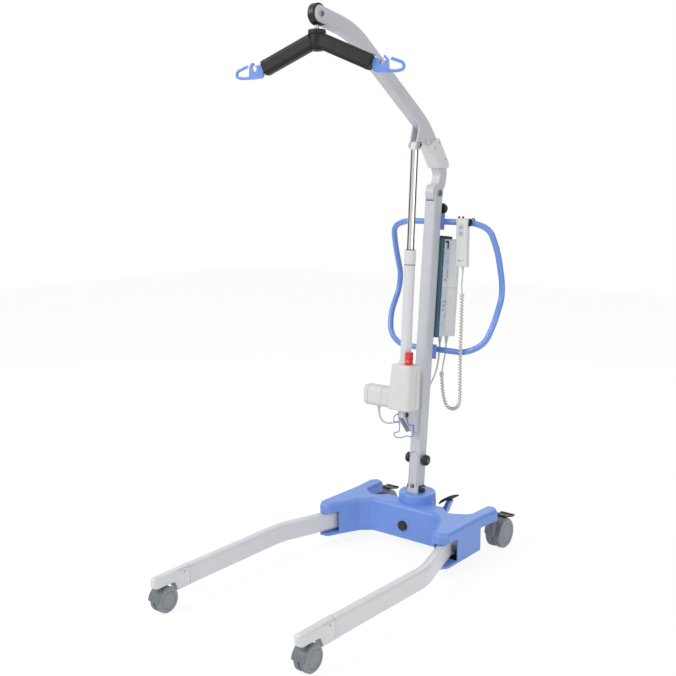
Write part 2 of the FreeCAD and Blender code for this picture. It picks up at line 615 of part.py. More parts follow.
def tie_rod(name, side):
    """The rod from the crank pin to the leg's lever; it runs inside the beam."""
    up = "-%d * crank_radius * cos(pedal_rest)" % side
    z = "shaft_z + %s" % up
    near = "%d * crank_radius * sin(pedal_rest)" % side
    far = "%d * (pivot_x + lever_arm * sin(lever_turn))" % side
    y = "pivot_y + lever_arm * cos(lever_turn)"
    ring = rod("eye_radius", "eye_thick", near, "%s - eye_thick / 2" % y, z, Y)
    end = rod("eye_radius", "eye_thick", far, y, "%s - eye_thick / 2" % z)
    low = near if side > 0 else far
    bar = rod("tie_radius - 1.2", "pivot_x + lever_arm * sin(lever_turn) - crank_radius * sin(pedal_rest)",
              low, y, z, X)
    holes = [rod("eye_hole", 20, near, "%s - 10" % y, z, Y), rod("eye_hole", 20, far, y, "%s - 10" % z)]
    node("tie_rod_" + name, cut(fuse(ring, end, bar), *holes))


# ---------------------------------------------------------------- mast

def panel_points(half, top, low):
    """The arched front panel, from its left foot round to its left shoulder."""
    return [("-(%s)" % half, low), (half, low), (half, "%s - panel_arch" % top),
            ("mast_wide / 5", top), ("-mast_wide / 5", top), ("-(%s)" % half, "%s - panel_arch" % top)]


def mast_foot():
    post = box("mast_wide - 2 * mast_wall - 2 * foot_clear", "mast_deep - 2 * mast_wall - 2 * foot_clear",
               "foot_post_top - foot_low", "mast_wall + foot_clear - mast_wide / 2",
               "mast_wall + foot_clear - mast_deep / 2", "foot_low")
    shoe = box("mast_wide", "mast_deep", "mast_low - 0.8 - foot_low - 9", "-mast_wide / 2",
               "-mast_deep / 2", "foot_low + 9")
    panel = pad("XZ", panel_points("mast_wide / 2", "foot_panel_top - panel_gap", "foot_low + 9"),
                "mast_wall + 0.4", "mast_deep / 2 - mast_wall - 0.4", [(12, (3, 4)), (6, (2, 5))])
    trim = box("mast_wide", "mast_deep", 400, "-mast_wide / 2", "-mast_deep / 2", "foot_low")
    panel = common(panel, soften(trim, s.mast_round, along(Z)))
    bore = rod(5.1, 60, -30, 0, "knob_w", X)
    column = hold(cut(fuse(post, shoe, panel), bore), mast_frame())
    flange = box(80, 76, 12, -40, 318, "beam_low + beam_high + plate_thick")
    node("mast_foot", fuse(column, flange))


def foot_latches():
    """A latch plate on each side of the foot, and the screw on its front."""
    items = [box(11, 3, 11, -5.5, "-mast_deep / 2 - 3", "turret_top + 17")]
    for side in (-1, 1):
        x = "mast_wide / 2" if side > 0 else "-mast_wide / 2 - 7"
        items.append(box(7, 30, 21, x, -14, "turret_top + 3"))
        items.append(rod(5, 10, "mast_wide / 2" if side > 0 else "-mast_wide / 2 - 10", 0,
                         "turret_top + 13", X))
    body = fuse(*items)
    node("foot_latches", body, mast_frame())


def mast():
    outer = box("mast_wide", "mast_deep", "mast_top - mast_low", "-mast_wide / 2", "-mast_deep / 2",
                "mast_low")
    outer = soften(outer, s.mast_round, along(Z))
    head = pad("YZ", [("-mast_deep / 2", "mast_low"), ("mast_deep / 2", "mast_low"),
                      ("mast_deep / 2", "mast_top"), ("-mast_deep / 2", "mast_top")],
               "mast_wide", "-mast_wide / 2", [("mast_head_round", (2, 3))])
    inner = box("mast_wide - 2 * mast_wall", "mast_deep - 2 * mast_wall", 1200,
                "mast_wall - mast_wide / 2", "mast_wall - mast_deep / 2", 100)
    fork = box("mast_wide - 2 * mast_wall", "mast_deep + 2", 100, "mast_wall - mast_wide / 2",
               "-mast_deep / 2 - 1", "mast_front_top")
    mouth = pad("XZ", panel_points("mast_wide / 2 + 1", "foot_panel_top", 150), "mast_wall + 2",
                "mast_deep / 2 - mast_wall - 0.5", [(12, (3, 4))])
    bolt = rod("hinge_bolt", 60, -30, 0, "pivot_w", X)
    holes = [bolt, rod(5.1, 60, -30, 0, "knob_w", X), rod(5.1, 30, 0, 10, "rear_knob_w", Y)]
    node("mast", cut(common(outer, head), inner, fork, mouth, *holes), mast_frame())


def knob_points():
    """A round hand knob's outline, from its seat outwards."""
    return [
        (0, 0), (0, "knob_neck"), ("knob_stand", "knob_neck"), ("knob_stand + 1.5", "knob_radius - 2.5"),
        ("knob_stand + 4", "knob_radius"), ("knob_stand + knob_wide", "knob_radius"),
        ("knob_stand + knob_wide", 0),
    ]


def grip():
    item = revolve(knob_points())
    return soften(item, s.knob_dome, at_height(s.knob_stand + s.knob_wide, X))


def knobs():
    """Two hand knobs on the mast's sides hold the foot; one at the head locks the boom hinge."""
    for name, side in SIDES:
        stem = rod(5, 12, -11, 0, 0, X)
        place = turn(Z, 0 if side > 0 else 180, V(side * (s.mast_wide / 2 + s.knob_gap), 0, s.knob_w))
        node("mast_knob_" + name, fuse(grip(), stem), mast_frame().multiply(place))
    head = hold(grip(), turn(X, 0, V(s.rear_knob_reach - s.knob_stand - s.knob_wide, 0, 0)))
    stem = rod(5, "rear_knob_reach - 2", "-rear_knob_reach / 4", 0, 0, X)
    place = turn(Z, 90, V(0, s.mast_deep / 2 + s.knob_gap, s.rear_knob_w))
    node("boom_lock_knob", fuse(head, stem), mast_frame().multiply(place))


def push_handle():
    right = [
        (s.top_bar_half, s.top_bar_y, s.top_bar_z), (188, 484, 1062), (201, 515, 990), (201, 549, 893),
        (205, 545, 838), (206, 497, 758), (188, 471, 690), (s.low_bar_half, s.low_bar_y, s.low_bar_z),
    ]
    start = (0, s.top_bar_y, s.top_bar_z)
    half = pipe([start] + right + [(0, s.low_bar_y, s.low_bar_z)], s.bar_radius)[0]
    other = half.mirror(V(), X)
    tube = feature(half.fuse(other).removeSplitter())
    top = box("flange_wide", "flange_thick", "flange_high", "-flange_wide / 2", "mast_deep / 2",
              "flange_low_w")
    low = box("flange_wide", "flange_thick", "flange_high - 4", "-flange_wide / 2", "mast_deep / 2",
              "lower_flange_w")
    spacer = box(34, 16, 22, -17, "mast_deep / 2 + flange_thick", "lower_flange_w + 13")
    hooks = [rod(3, 3, x, "mast_deep / 2 + flange_thick", w, Y)
             for x in (-22, 22) for w in ("flange_low_w + 6", "flange_low_w + flange_high - 6")]
    hooks += [rod(3, 3, x, "mast_deep / 2 + flange_thick", w, Y)
              for x in (-23, 23) for w in ("lower_flange_w + 7", "lower_flange_w + flange_high - 11")]
    plates = fuse(top, low, spacer, *hooks)
    node("push_handle", fuse(tube, hold(plates, mast_frame())))


# ---------------------------------------------------------------- control box and handset

def box_section():
    right = [
        ("box_half", "mast_deep / 2 + back_deep"), ("box_half", "mast_deep / 2 + back_deep + box_side_deep"),
        ("box_wide_half", "mast_deep / 2 + back_deep + box_side_deep + 22"),
        ("box_wide_half", "box_far - 9"), ("box_wide_half - 11", "box_far"),
    ]
    return right + [("-(%s)" % a, b) for a, b in reversed(right)]


PORTS = ((16, "mast_deep / 2 + 45"), (25, "mast_deep / 2 + 70.5"))


def control_box():
    back = box("back_wide", "back_deep", "box_top_w - box_low_w + 4", "-back_wide / 2", "mast_deep / 2",
               "box_low_w - 2")
    back = soften(back, 3, along(Z))
    node("box_mount", back, mast_frame())
    rounds = [(6, (1, 2, 3, 4, 5, 6, 7, 8))]
    low = pad("XY", box_section(), "box_seam_w - box_low_w", "box_low_w", rounds)
    low = soften(low, 4, at_height(s.box_low_w))
    stop = rod("stop_radius - 3.7", 14, 0, "box_far - 13", "box_seam_w - 40", Y)
    ports = [rod("plug_radius - 1.5", 12, x, y, "box_low_w - 1") for x, y in PORTS]
    node("control_box", cut(low, stop, *ports), mast_frame())
    high = pad("XY", box_section(), "box_top_w - box_seam_w - seam_gap", "box_seam_w + seam_gap", rounds)
    high = soften(high, 6, at_height(s.box_top_w))
    grip = box(60, 14, 26, -30, "box_far - 14", "box_top_w - 44")
    node("battery_pack", cut(high, grip), mast_frame())
    head = rod("stop_radius", 9, 0, "box_far + 3.4", 0, Y)
    doc.recompute()
    head = soften(head, 3, at_height(s.box_far + 12.4, Y))
    shank = rod("stop_radius - 4", 12, 0, "box_far - 8.4", 0, Y)
    button = fuse(head, shank)
    node("stop_button", button, mast_frame().multiply(turn(Z, 0, V(0, 0, s.box_seam_w - 40))))


def handset():
    """The hand control hangs by its hook on the push handle's top bar."""
    shell = box("handset_wide", "handset_deep", "handset_high", "handset_x - handset_wide / 2",
                "handset_y - handset_deep / 2", "handset_z")
    shell = soften(shell, s.handset_edge, along(Z))
    doc.recompute()
    top = s.handset_z + s.handset_high
    shell = soften(shell, 4, lambda e: at_height(s.handset_z)(e) or at_height(top)(e))
    keys = []
    for up in (0, 1):
        keys.append(box("key_wide + 0.6", 6, "key_high + 0.6", "handset_x - key_wide / 2 - 0.3",
                        "handset_y - handset_deep / 2 - 1", "handset_z + 100.7 + %d * 20" % up))
    node("handset_shell", cut(shell, *keys))
    reach = "top_bar_y + bar_radius + hanger_gap"
    near = "handset_y + handset_deep / 2"
    outer = rod("bar_radius + hanger_gap + 3", 14, "handset_x - 7", "top_bar_y", "top_bar_z", X)
    inner = rod("bar_radius + hanger_gap", 16, "handset_x - 8", "top_bar_y", "top_bar_z", X)
    lower = box(16, 80, 80, "handset_x - 8", "top_bar_y - 40", "top_bar_z - 80")
    arch = cut(outer, inner, lower)
    plate = box(14, "top_bar_y - bar_radius - hanger_gap - (%s)" % near, 34, "handset_x - 7", near,
                "top_bar_z - 34")
    lip = box(14, 3, 12, "handset_x - 7", reach, "top_bar_z - 12")
    node("handset_hook", fuse(arch, plate, lip))
    for up, name in ((0, "handset_down_button"), (1, "handset_up_button")):
        key = box("key_wide", 5, "key_high", "handset_x - key_wide / 2",
                  "handset_y - handset_deep / 2 - 1.8", "handset_z + 101 + %d * 20" % up)
        node(name, soften(key, 1, at_height(s.handset_y - s.handset_deep / 2 - 1.8, Y)))


def cords():
    """The handset's lead with its coil, and the motor's lead up to its plug."""
    drop = [(112, 448, 940.5), (112, 448, 905), (113, 441, 880), (119, 436, 850)]
    coil = [(119, 436, 850), (121, 431, 752), (120, 429.5, 650), (119, 434, 555), (114, 443, 462),
            (36, 459, 462), (28, 466, 575)]
    rise = [(28, 466, 575), (27.5, 474, 605), (25, 492.1, 640), (25, 495, 673.6)]
    motor = [(-100, 282.7, 471.2), (-100, 284, 440), (-80, 290, 418), (-45, 300, 425), (-30, 325, 432),
             (-27, 360, 436), (-27, 400, 450), (-24, 434, 490), (-2, 455, 545), (15, 467, 605),
             (16, 469.6, 675.8)]
    parts = []
    for title, points, radius in (("drop", drop, s.lead_radius), ("coil", coil, s.coil_radius),
                                  ("rise", rise, s.lead_radius), ("motor", motor, s.motor_lead_radius)):
        shape, length, radii = pipe(points, radius)
        print(title, "length", round(length), "bend radii", radii)
        parts.append(feature(shape))
    node("handset_cord", fuse(*parts[:3]))
    node("motor_lead", parts[3])


def plugs():
    """The two plugs under the control box, each along the mast's lean."""
    items = []
    for x, y in PORTS:
        items.append(rod("plug_radius - 1.6", 10, x, y, "box_low_w"))
        items.append(rod("plug_radius", "plug_long", x, y, "box_low_w - plug_long"))
        items.append(rod("plug_radius - 2", 7, x, y, "box_low_w - plug_long - 7"))
    node("cord_plugs", fuse(*items), mast_frame())


# ---------------------------------------------------------------- actuator

def tapered_case():
    """The gear case: a block that narrows upwards, more on the motor's side."""
    item = doc.addObject("Part::Wedge", "Case")
    rules = (
        ("Xmin", "-case_wide / 2"), ("Xmax", "case_wide / 2"), ("Zmin", "-case_back"),
        ("Zmax", "case_front"), ("X2min", "-case_top_left"), ("X2max", "case_top_right"),
        ("Z2min", "-case_top_deep / 2"), ("Z2max", "case_top_deep / 2"), ("Ymin", 0),
        ("Ymax", "case_top - case_low"),
    )
    for prop, rule in rules:
        bind(item, prop, rule)
    item.Placement = turn(X, 90)
    move(item, 0, 0, "case_low")
    item = soften(item, s.case_round, along(Z, 0.99))
    item = soften(item, s.case_top_round, at_height(s.case_top))
    return soften(item, 5, at_height(s.case_low))


def actuator():
    case = tapered_case()
    lug = rod("lug_radius", "lug_wide", "-lug_wide / 2", 0, 0, X)
    neck = box("lug_wide", "2 * lug_radius", "case_low + 1", "-lug_wide / 2", "-lug_radius", 0)
    bore = rod("bolt_radius + run_gap", 60, -30, 0, 0, X)
    well = rod("tube_radius", 60, 0, 0, "case_top - 12")
    screw = rod("screw_radius + 0.4", 60, 0, 0, "case_top - 30")
    node("actuator_housing", cut(fuse(case, lug, neck), bore, well, screw), jack_frame())
    barrel = box("motor_far - 20", "motor_deep", "motor_high", "-motor_far", "2 - motor_deep / 2",
                 "motor_w - motor_high / 2")
    barrel = soften(barrel, s.motor_corner, along(X))
    barrel = soften(barrel, s.motor_round, at_height(-s.motor_far, X))
    gland = rod(6, 8, "-gland_x", 2, "motor_w - motor_high / 2 - 7")
    node("motor_cover", cut(fuse(barrel, gland), case), jack_frame())
    tube = cut(rod("tube_radius", "tube_top - case_top + 12", 0, 0, "case_top - 12"),
               rod("rod_radius + 2.5", 600, 0, 0, "case_top - 13"))
    collar = cut(rod("collar_radius", "collar_top - tube_top", 0, 0, "tube_top"),
                 rod("rod_radius + rod_slip", 200, 0, 0, "tube_top - 1"))
    node("actuator_tube", fuse(tube, collar), jack_frame())
    thread = rod("screw_radius", "screw_top - case_top + 29", 0, 0, "case_top - 29")
    node("lead_screw", thread, jack_frame())
    ram = cut(rod("rod_radius", "rod_top - rod_low", 0, 0, "rod_low"),
              rod("rod_bore", 250, 0, 0, "rod_low - 1"))
    node("actuator_rod", ram, jack_frame())
    block = box("2 * eye_half", "2 * eye_round", "eye_w - rod_top", "-eye_half", "-eye_round", "rod_top")
    cap = rod("eye_round", "2 * eye_half", "-eye_half", 0, "eye_w", X)
    node("rod_eye", cut(fuse(block, cap), rod(5.5, 60, -30, 0, "eye_w", X)), jack_frame())
    ring = rod("tube_radius + 3", 9, 0, 0, "case_top + 0.8")
    lever = box("release_wide", "release_deep", "release_high", "release_x", "release_v",
                "case_top + 0.8")
    lever = soften(lever, 5, along(Z))
    waist = "case_top + 1 + release_high * 0.5"
    lever = cut(lever, rod("release_waist", 60, 0, "release_v - release_waist + 2.5", waist, X),
                rod("release_waist", 60, 0, "release_v + release_deep + release_waist - 2.5", waist, X))
    bore = rod("tube_radius + 0.4", 90, 0, 0, "case_top")
    node("release_handle", cut(fuse(ring, lever), bore), jack_frame())


def actuator_bracket():
    """Two plates welded to the mast carry the actuator's foot."""
    face = s.mast_y + s.jack_z * math.tan(math.radians(s.mast_lean))
    items = []
    for side in (-1, 1):
        points = [("jack_y - 10", "jack_z + 9"), ("jack_y + 4", "jack_z + 11"), (face, "jack_z + 11"),
                  (face - 6, "bracket_low"), ("jack_y + 36", "bracket_low"),
                  ("jack_y - 12", "jack_z - 12")]
        x = "bracket_x" if side > 0 else "-bracket_x - bracket_thick"
        items.append(pad("YZ", points, "bracket_thick", x, [(9, (0, 5))]))
    back = box("mast_wide", 5, 70, "-mast_wide / 2", "-mast_deep / 2 - 5", "bracket_low + 6")
    items.append(hold(back, mast_frame()))
    wall = box("mast_wide + 20", "mast_deep", 600, "-mast_wide / 2 - 10", "-mast_deep / 2", 200)
    bore = rod("bolt_radius", 90, -45, "jack_y", "jack_z", X)
    node("actuator_bracket", cut(fuse(*items), bore, hold(wall, mast_frame())))


def carry_hook():
    """A bent wire under the actuator's foot holds the spreader's hook in transport."""
    points = [
        (14.6, 281, 458), (14.6, 287, 440), (14.6, 290, 427), (14.6, 321, 422), (14.6, 323, 391),
        (8, 319, 381), (0, 299, 387), (0, 270, 387), (0, 244, 393), (0, 219, 413), (0, 256, 410),
        (0, 261, 421), (0, 259, 441), (0, 236, 445), (0, 225, 455), (-6, 238, 465),
        (-14.6, 262, 464), (-14.6, 274, 463.5),
    ]
    wire = feature(pipe(points, s.wire_radius, s.wire_bend)[0])
    heads = [rod("bolt_radius + 4", 3, x, "jack_y", "jack_z", X)
             for x in ("bracket_x + bracket_thick", "-bracket_x - bracket_thick - 3")]
    node("carry_hook", cut(wire, *heads))


# ---------------------------------------------------------------- boom

def boom_line(ahead=0, beyond=0):
    """The boom's middle line in the side view, from its tip to its root."""
    line = [V(s.tip_y, s.tip_z, 0), V(s.boom_knee_y, s.boom_knee_z, 0),
            V(s.boom_bend_y, s.boom_bend_z, 0), V(s.boom_root_y, s.boom_root_z, 0)]
    line[0] += (line[0] - line[1]).normalize() * ahead
    line[3] += (line[3] - line[2]).normalize() * beyond
    return line


def beside(line, aside):
    """The line drawn at one distance beside a bent line, its corners mitred; up is positive."""
    ways = [(b - a).normalize() for a, b in zip(line, line[1:])]
    normals = [V(-way.y, way.x, 0) for way in ways]
    spots = [line[0] + normals[0] * aside]
    for spot, before, after in zip(line[1:], normals, normals[1:]):
        middle = (before + after).normalize()
        spots.append(spot + middle * (aside / middle.dot(after)))
    spots.append(line[-1] + normals[-1] * aside)
    return [(spot.x, spot.y) for spot in spots]


def boom_outline(grow=0, ahead=None, beyond=0):
    """The closed outline of the bent tube, upper side first."""
    line = boom_line(s.tip_round if ahead is None else ahead, beyond)
    half = s.boom_high / 2 + grow
    return beside(line, half) + beside(line, -half)[::-1]


def boom_rounds(grow=0):
    half = s.boom_high / 2 + grow
    return [(s.boom_turn + half, (1, 2)), (s.boom_turn - half, (5, 6))]


def boom_tube():
    rounds = boom_rounds() + [("tip_round - 1", (0, 7))]
    bar = pad("YZ", boom_outline(), "boom_wide", "-boom_wide / 2", rounds)
    doc.recompute()
    half = s.boom_wide / 2
    bar = soften(bar, s.boom_edge, lambda e: at_height(half, X)(e) or at_height(-half, X)(e))
    inner = pad("YZ", boom_outline(-s.boom_wall, -28, 5), "boom_wide - 2 * boom_wall",
                "boom_wall - boom_wide / 2", boom_rounds(-s.boom_wall))
    slot = rod("drum_radius + 6", "2 * (drum_half + drum_gap)", "-drum_half - drum_gap", "tip_y",
               "tip_z", X)
    holes = [slot, inner, rod(6, 60, -30, "tip_y", "tip_z", X)]
    ears = []
    for side in (-1, 1):
        points = [("lug_y - lug_round + 2", "lug_z"), ("lug_y + lug_round", "lug_z"),
                  ("boom_bend_y + 6", "boom_bend_z - 30"), ("boom_bend_y - 40", "boom_bend_z + 5")]
        x = "lug_in" if side > 0 else "-lug_in - lug_thick"
        ear = fuse(pad("YZ", points, "lug_thick", x), rod("lug_round", "lug_thick", x, "lug_y", "lug_z", X))
        ears.append(cut(ear, rod(5.5, 60, -30, "lug_y", "lug_z", X)))
    node("boom_tube", cut(fuse(bar, *ears), *holes))


def boom_neck():
    """The hinge knuckle and the neck that carries the boom's root."""
    width = "2 * knuckle_half"
    knuckle = rod("knuckle_radius", width, "-knuckle_half", "boom_pivot_y", "boom_pivot_z", X)
    front = [("boom_pivot_y - 20", "boom_pivot_z + 9"), ("boom_pivot_y + 17.5", "boom_pivot_z - 10"),
             ("boom_pivot_y + 42.5", "boom_pivot_z + 28"), ("boom_pivot_y + 51.5", "boom_pivot_z + 64")]
    back = [("boom_pivot_y + 13.5", "boom_pivot_z + 60"), ("boom_pivot_y + 1.5", "boom_pivot_z + 30")]
    stalk = pad("YZ", front + boom_outline()[3:5] + back, width, "-knuckle_half",
                [(40, (2, 3)), (20, (6, 7))])
    node("boom_neck", cut(fuse(knuckle, stalk), rod("hinge_bolt + run_gap", 60, -30, "boom_pivot_y",
                                                    "boom_pivot_z", X)))


def sleeve_outline():
    """The sleeve's side view, measured back from the root and aside from the boom's middle line."""
    line = boom_line()
    way = (line[3] - line[2]).normalize()
    normal = V(-way.y, way.x, 0)
    long, lower, upper = s.sleeve_long, -s.boom_high / 2 - 3.5, s.boom_high / 2 + 6
    marks = [(7.7, lower), (-27.5, 19.4), (-9, upper), (long - 11, upper), (long, 14), (long, lower)]
    spots = [line[3] - way * back + normal * aside for back, aside in marks]
    return [(spot.x, spot.y) for spot in spots]


def boom_sleeve():
    """The moulded cover over the boom's root, hollow to the tube inside it."""
    shell = pad("YZ", sleeve_outline(), "sleeve_wide", "-sleeve_wide / 2",
                [(6, (1,)), (9, (3, 4)), (5.5, (5,))])
    doc.recompute()
    half = s.sleeve_wide / 2
    shell = soften(shell, s.sleeve_edge, lambda e: at_height(half, X)(e) or at_height(-half, X)(e))
    core = pad("YZ", boom_outline(), "boom_wide", "-boom_wide / 2", boom_rounds())
    tail = pad("YZ", [(449, 1240), (497, 1240), (484.6, 1284), (445.5, 1256)], "2 * knuckle_half + 1",
               "-knuckle_half - 0.5")
    node("boom_sleeve", cut(shell, core, tail))


def boom_bolts():
    """The drum's pivot bolt at the tip and the two lug bolts, whose ends stop inside the lug plates."""
    pin = rod(6, "boom_wide", "-boom_wide / 2", "tip_y", "tip_z", X)
    items = [pin]
    for side in (-1, 1):
        x = "boom_wide / 2" if side > 0 else "-boom_wide / 2 - 4"
        items.append(soften(rod(8, 4, x, "tip_y", "tip_z", X), 1.5,
                            at_height(side * (s.boom_wide / 2 + 4), X)))
        x = "lug_in" if side > 0 else "-lug_in - lug_thick"
        items.append(rod(5.5, "lug_thick", x, "lug_y", "lug_z", X))
        x = "lug_in + lug_thick" if side > 0 else "-lug_in - lug_thick - 4"
        items.append(rod(9, 4, x, "lug_y", "lug_z", X))
    node("boom_bolts", fuse(*items))


# ---------------------------------------------------------------- spreader

def hanger():
    disc = rod("drum_radius", "2 * drum_half", "-drum_half", "tip_y", "tip_z", X)
    doc.recompute()
    disc = soften(disc, 2.5, lambda e: e.Curve.TypeId == "Part::GeomCircle")
    node("hanger_drum", cut(disc, rod("6 + run_gap", 60, -30, "tip_y", "tip_z", X),
                            rod("stud_radius", 51, 0, "tip_y", "tip_z - 65")))
    stud = rod("stud_radius", "tip_z - 14 - yoke_low - 1", 0, "tip_y", "yoke_low + 1")
    nut = rod("stud_radius + 5", 7, 0, "tip_y", "yoke_low + 1")
    node("hanger_stud", fuse(stud, nut))


def spreader():
    hub = revolve([(0, "yoke_low + 8"), (20, "yoke_low + 8"), (20, "yoke_low + 12"),
                   ("yoke_radius", "yoke_low + 16"), ("yoke_radius", "yoke_top - yoke_flange_high - 3"),
                   ("yoke_flange", "yoke_top - yoke_flange_high"), ("yoke_flange", "yoke_top - 3"),
                   ("yoke_flange - 3", "yoke_top"), (0, "yoke_top")], "XZ", "V_Axis")
    items = [hub]
    slope = math.degrees(math.atan2(s.bar_start_z - s.bar_end_z, s.bar_reach - s.bar_start))
    for side in (-1, 1):
        arm = box("(bar_reach - bar_start) * 1.084", "bar_thick", "bar_high", 0, "-bar_thick / 2",
                  "-bar_high / 2")
        arm = soften(arm, s.bar_soft, along(X))
        arm = soften(arm, 4, lambda e: at_height((s.bar_reach - s.bar_start) * 1.084, X)(e))
        arm.Placement = turn(Y, slope, V(s.bar_start, 0, s.bar_start_z))
        if side < 0:
            arm = hold(arm, turn(Z, 180))
        items.append(arm)
    bore = [rod("stud_radius + run_gap", 200, 0, 0, "yoke_low - 20"),
            rod("stud_radius + 5.3", "13", 0, 0, "yoke_low - 2")]
    items.append(rod(17, 5, 0, 0, "yoke_low - 5"))
    items.append(rod(18.5, 8.1, 0, 0, "yoke_low"))
    for side in (-1, 1):
        slot = box(20, "hook_thick", 60, "hook_in - 0.1", "-hook_thick / 2", "bar_end_z - 27")
        bore.append(slot if side > 0 else hold(slot, turn(Z, 180)))
    node("spreader_bar", cut(fuse(*items), *bore), spreader_frame())


def hook(name, side):
    """An open sling hook at the arm's end: a saddle plate, a finger and a bent rod."""
    saddle = [("hook_in", 1541), (168, 1543), (174, 1535), (176, 1524), (190, 1516), (199, 1518), (203, 1530),
              (197, 1534), (196, 1539), (201, 1541), (209, 1531), (211, 1500), (205, 1495), (172, 1497),
              (166, 1503)]
    plate = pad("XZ", saddle, "hook_thick", "-hook_thick / 2",
                [(2, (0, 1, 5, 8, 9, 10, 11, 12, 13))])
    loop = [(203, 0, 1499.5), (236, 0, 1499), (253, 0, 1503.5), (251, 0, 1519), (217, 0, 1531.5)]
    wire = feature(pipe(loop, s.hook_rod)[0])
    cheek = [(174, 1519), (186, 1515), (186.5, 1531), (176, 1534)]
    cheeks = [pad("XZ", cheek, 1.8, start) for start in (3.2, -5)]
    pin = rod(1.5, 10, 181, -5, 1528, Y)
    shape = fuse(plate, wire, pin, *cheeks)
    place = spreader_frame() if side > 0 else spreader_frame().multiply(turn(Z, 180))
    node("hook_" + name, shape, place)


def latch(name, side):
    """The sprung metal tongue that closes the hook's mouth."""
    points = [(-3, -3), (3, -3.4), (13, 2.5), (12.5, 6.5), (2, 3.4), (-3, 3)]
    tongue = cut(pad("XZ", points, 6, -3, [(2, (0, 5))]), rod(1.58, 20, 0, -10, 0, Y))
    place = spreader_frame() if side > 0 else spreader_frame().multiply(turn(Z, 180))
    node("latch_" + name, tongue, place.multiply(turn(Y, 0, V(181, 0, 1528))))


# ---------------------------------------------------------------- build

def build():
    base_frame()
    base_cover()
    pivot_bolts()
    for name, side in SIDES:
        leg(name, side)
        leg_cap(name, side)
        castor("front_" + name, "small", side, "cap_under")
        castor("rear_" + name, "big", side, "tail_under")
        brake(name, side)
        tie_rod(name, side)
        hook(name, side)
        latch(name, side)
    pedal_shaft()
    foot_pedal()
    mast_foot()
    foot_latches()
    mast()
    knobs()
    push_handle()
    control_box()
    handset()
    plugs()
    cords()
    actuator()
    actuator_bracket()
    carry_hook()
    boom_tube()
    boom_neck()
    boom_sleeve()
    boom_bolts()
    hanger()
    spreader()


def write():
    """Check every object of the document, then write one file per sub-part."""
    doc.recompute()
    for item in doc.Objects:
        if "Invalid" in item.State or "Error" in item.State:
            raise RuntimeError("%s %s is not built: %s" % (item.Name, item.Label, item.State))
    os.makedirs("parts", exist_ok=True)
    for item in nodes:
        if item.Shape.isNull() or not item.Shape.isValid() or item.Shape.Volume < 1:
            raise RuntimeError("%s has no sound shape" % item.Label)
        item.Shape.exportStep("parts/%s.step" % item.Label)
    print(len(nodes), "sub-parts written")


build()
write()
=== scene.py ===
import json
import math

import bmesh
import bpy
from mathutils import Matrix, Vector


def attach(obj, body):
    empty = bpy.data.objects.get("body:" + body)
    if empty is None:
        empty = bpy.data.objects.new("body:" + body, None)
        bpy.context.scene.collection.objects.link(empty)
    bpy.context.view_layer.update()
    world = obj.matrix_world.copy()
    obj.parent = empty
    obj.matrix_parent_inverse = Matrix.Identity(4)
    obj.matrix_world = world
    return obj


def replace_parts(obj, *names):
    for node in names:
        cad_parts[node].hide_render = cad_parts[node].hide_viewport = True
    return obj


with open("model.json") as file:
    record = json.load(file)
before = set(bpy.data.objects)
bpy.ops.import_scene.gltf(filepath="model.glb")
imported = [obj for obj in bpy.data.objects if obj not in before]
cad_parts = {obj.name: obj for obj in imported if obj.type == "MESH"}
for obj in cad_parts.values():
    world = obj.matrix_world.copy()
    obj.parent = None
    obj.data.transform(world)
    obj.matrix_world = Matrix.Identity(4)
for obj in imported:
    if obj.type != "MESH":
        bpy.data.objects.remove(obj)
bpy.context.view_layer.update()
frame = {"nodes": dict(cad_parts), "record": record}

# Looks for a mobile patient lift, built round its CAD frame. Lengths are in metres, colours are sRGB.

nodes = frame["nodes"]
SIDES = (("left", -1), ("right", 1))
X, Y, Z = Vector((1, 0, 0)), Vector((0, 1, 0)), Vector((0, 0, 1))

# Frames of the leaning mast, the actuator, the turned spreader and the tilted pedal.
MAST = Matrix.Translation((0, 0.3443, 0)) @ Matrix.Rotation(math.radians(-4.87), 4, "X")
JACK = Matrix.Translation((0, 0.2802, 0.4627)) @ Matrix.Rotation(math.radians(-3.17), 4, "X")
SPREADER = Matrix.Translation((0, -0.153, 0)) @ Matrix.Rotation(math.radians(14), 4, "Z")
PEDAL = Matrix.Translation((0, 0, 0.082)) @ Matrix.Rotation(math.radians(-13), 4, "Y")
ROOT = Matrix.Identity(4)

# Where the details sit, in millimetres. W is a height along the mast or the actuator, V runs from front to
# back on them, and X, Y and Z are the lift's own.
MM = 0.001
MAST_HALF, MAST_FACE = 20, 22.5
HINGE_W, KNOB_W, LOCK_W, LATCH_W = 1180, 294.5, 1133, 195.5
BOX_HALF, BOX_FAR, PLUGS_W, MARKS_W, PACK_LATCH_W, STOP_W = 30, 122.5, 708, 872, 1036, 831
PORTS = ((16, 67.5), (25, 93))
HANDSET = (110, 447.9, 940.5)
HANDSET_FACE, KEY_FACE = 435.9, 434.1
TOP_BAR_Y, TOP_BAR_Z = 474, 1082
CASE_LOW_HALF, CASE_TOP_HALF, CASE_HIGH, CASE_MIDDLE = 42.5, 40, 149.5, 92.5
MOTOR_V, MOTOR_W, MOTOR_END = 2, 50.3, 148
RELEASE_LOW, RELEASE_W, RELEASE_FACE, RELEASE_X, RELEASE_V = 168.1, 188, 30, 21, -11
TUBE_RING_W, COLLAR_TOP = 486, 534.3
LUG_Y, LUG_Z = 328, 1326
TIP_Y, TIP_Z = -153, 1658
BOOM_ROOT = (465.8, 1266)
YOKE_LOW = 1567
SHAFT_Y, SHAFT_Z = 277.9, 82
TURRET_Y, PORT_OUT, PORT_Z = 370, 61.6, 138


# ---------------------------------------------------------------- materials

def linear(red, green, blue):
    """Turn an sRGB colour of 0 to 255 into the linear colour that a shader takes."""
    def one(value):
        value /= 255
        return value / 12.92 if value <= 0.04045 else ((value + 0.055) / 1.055) ** 2.4
    return (one(red), one(green), one(blue), 1)


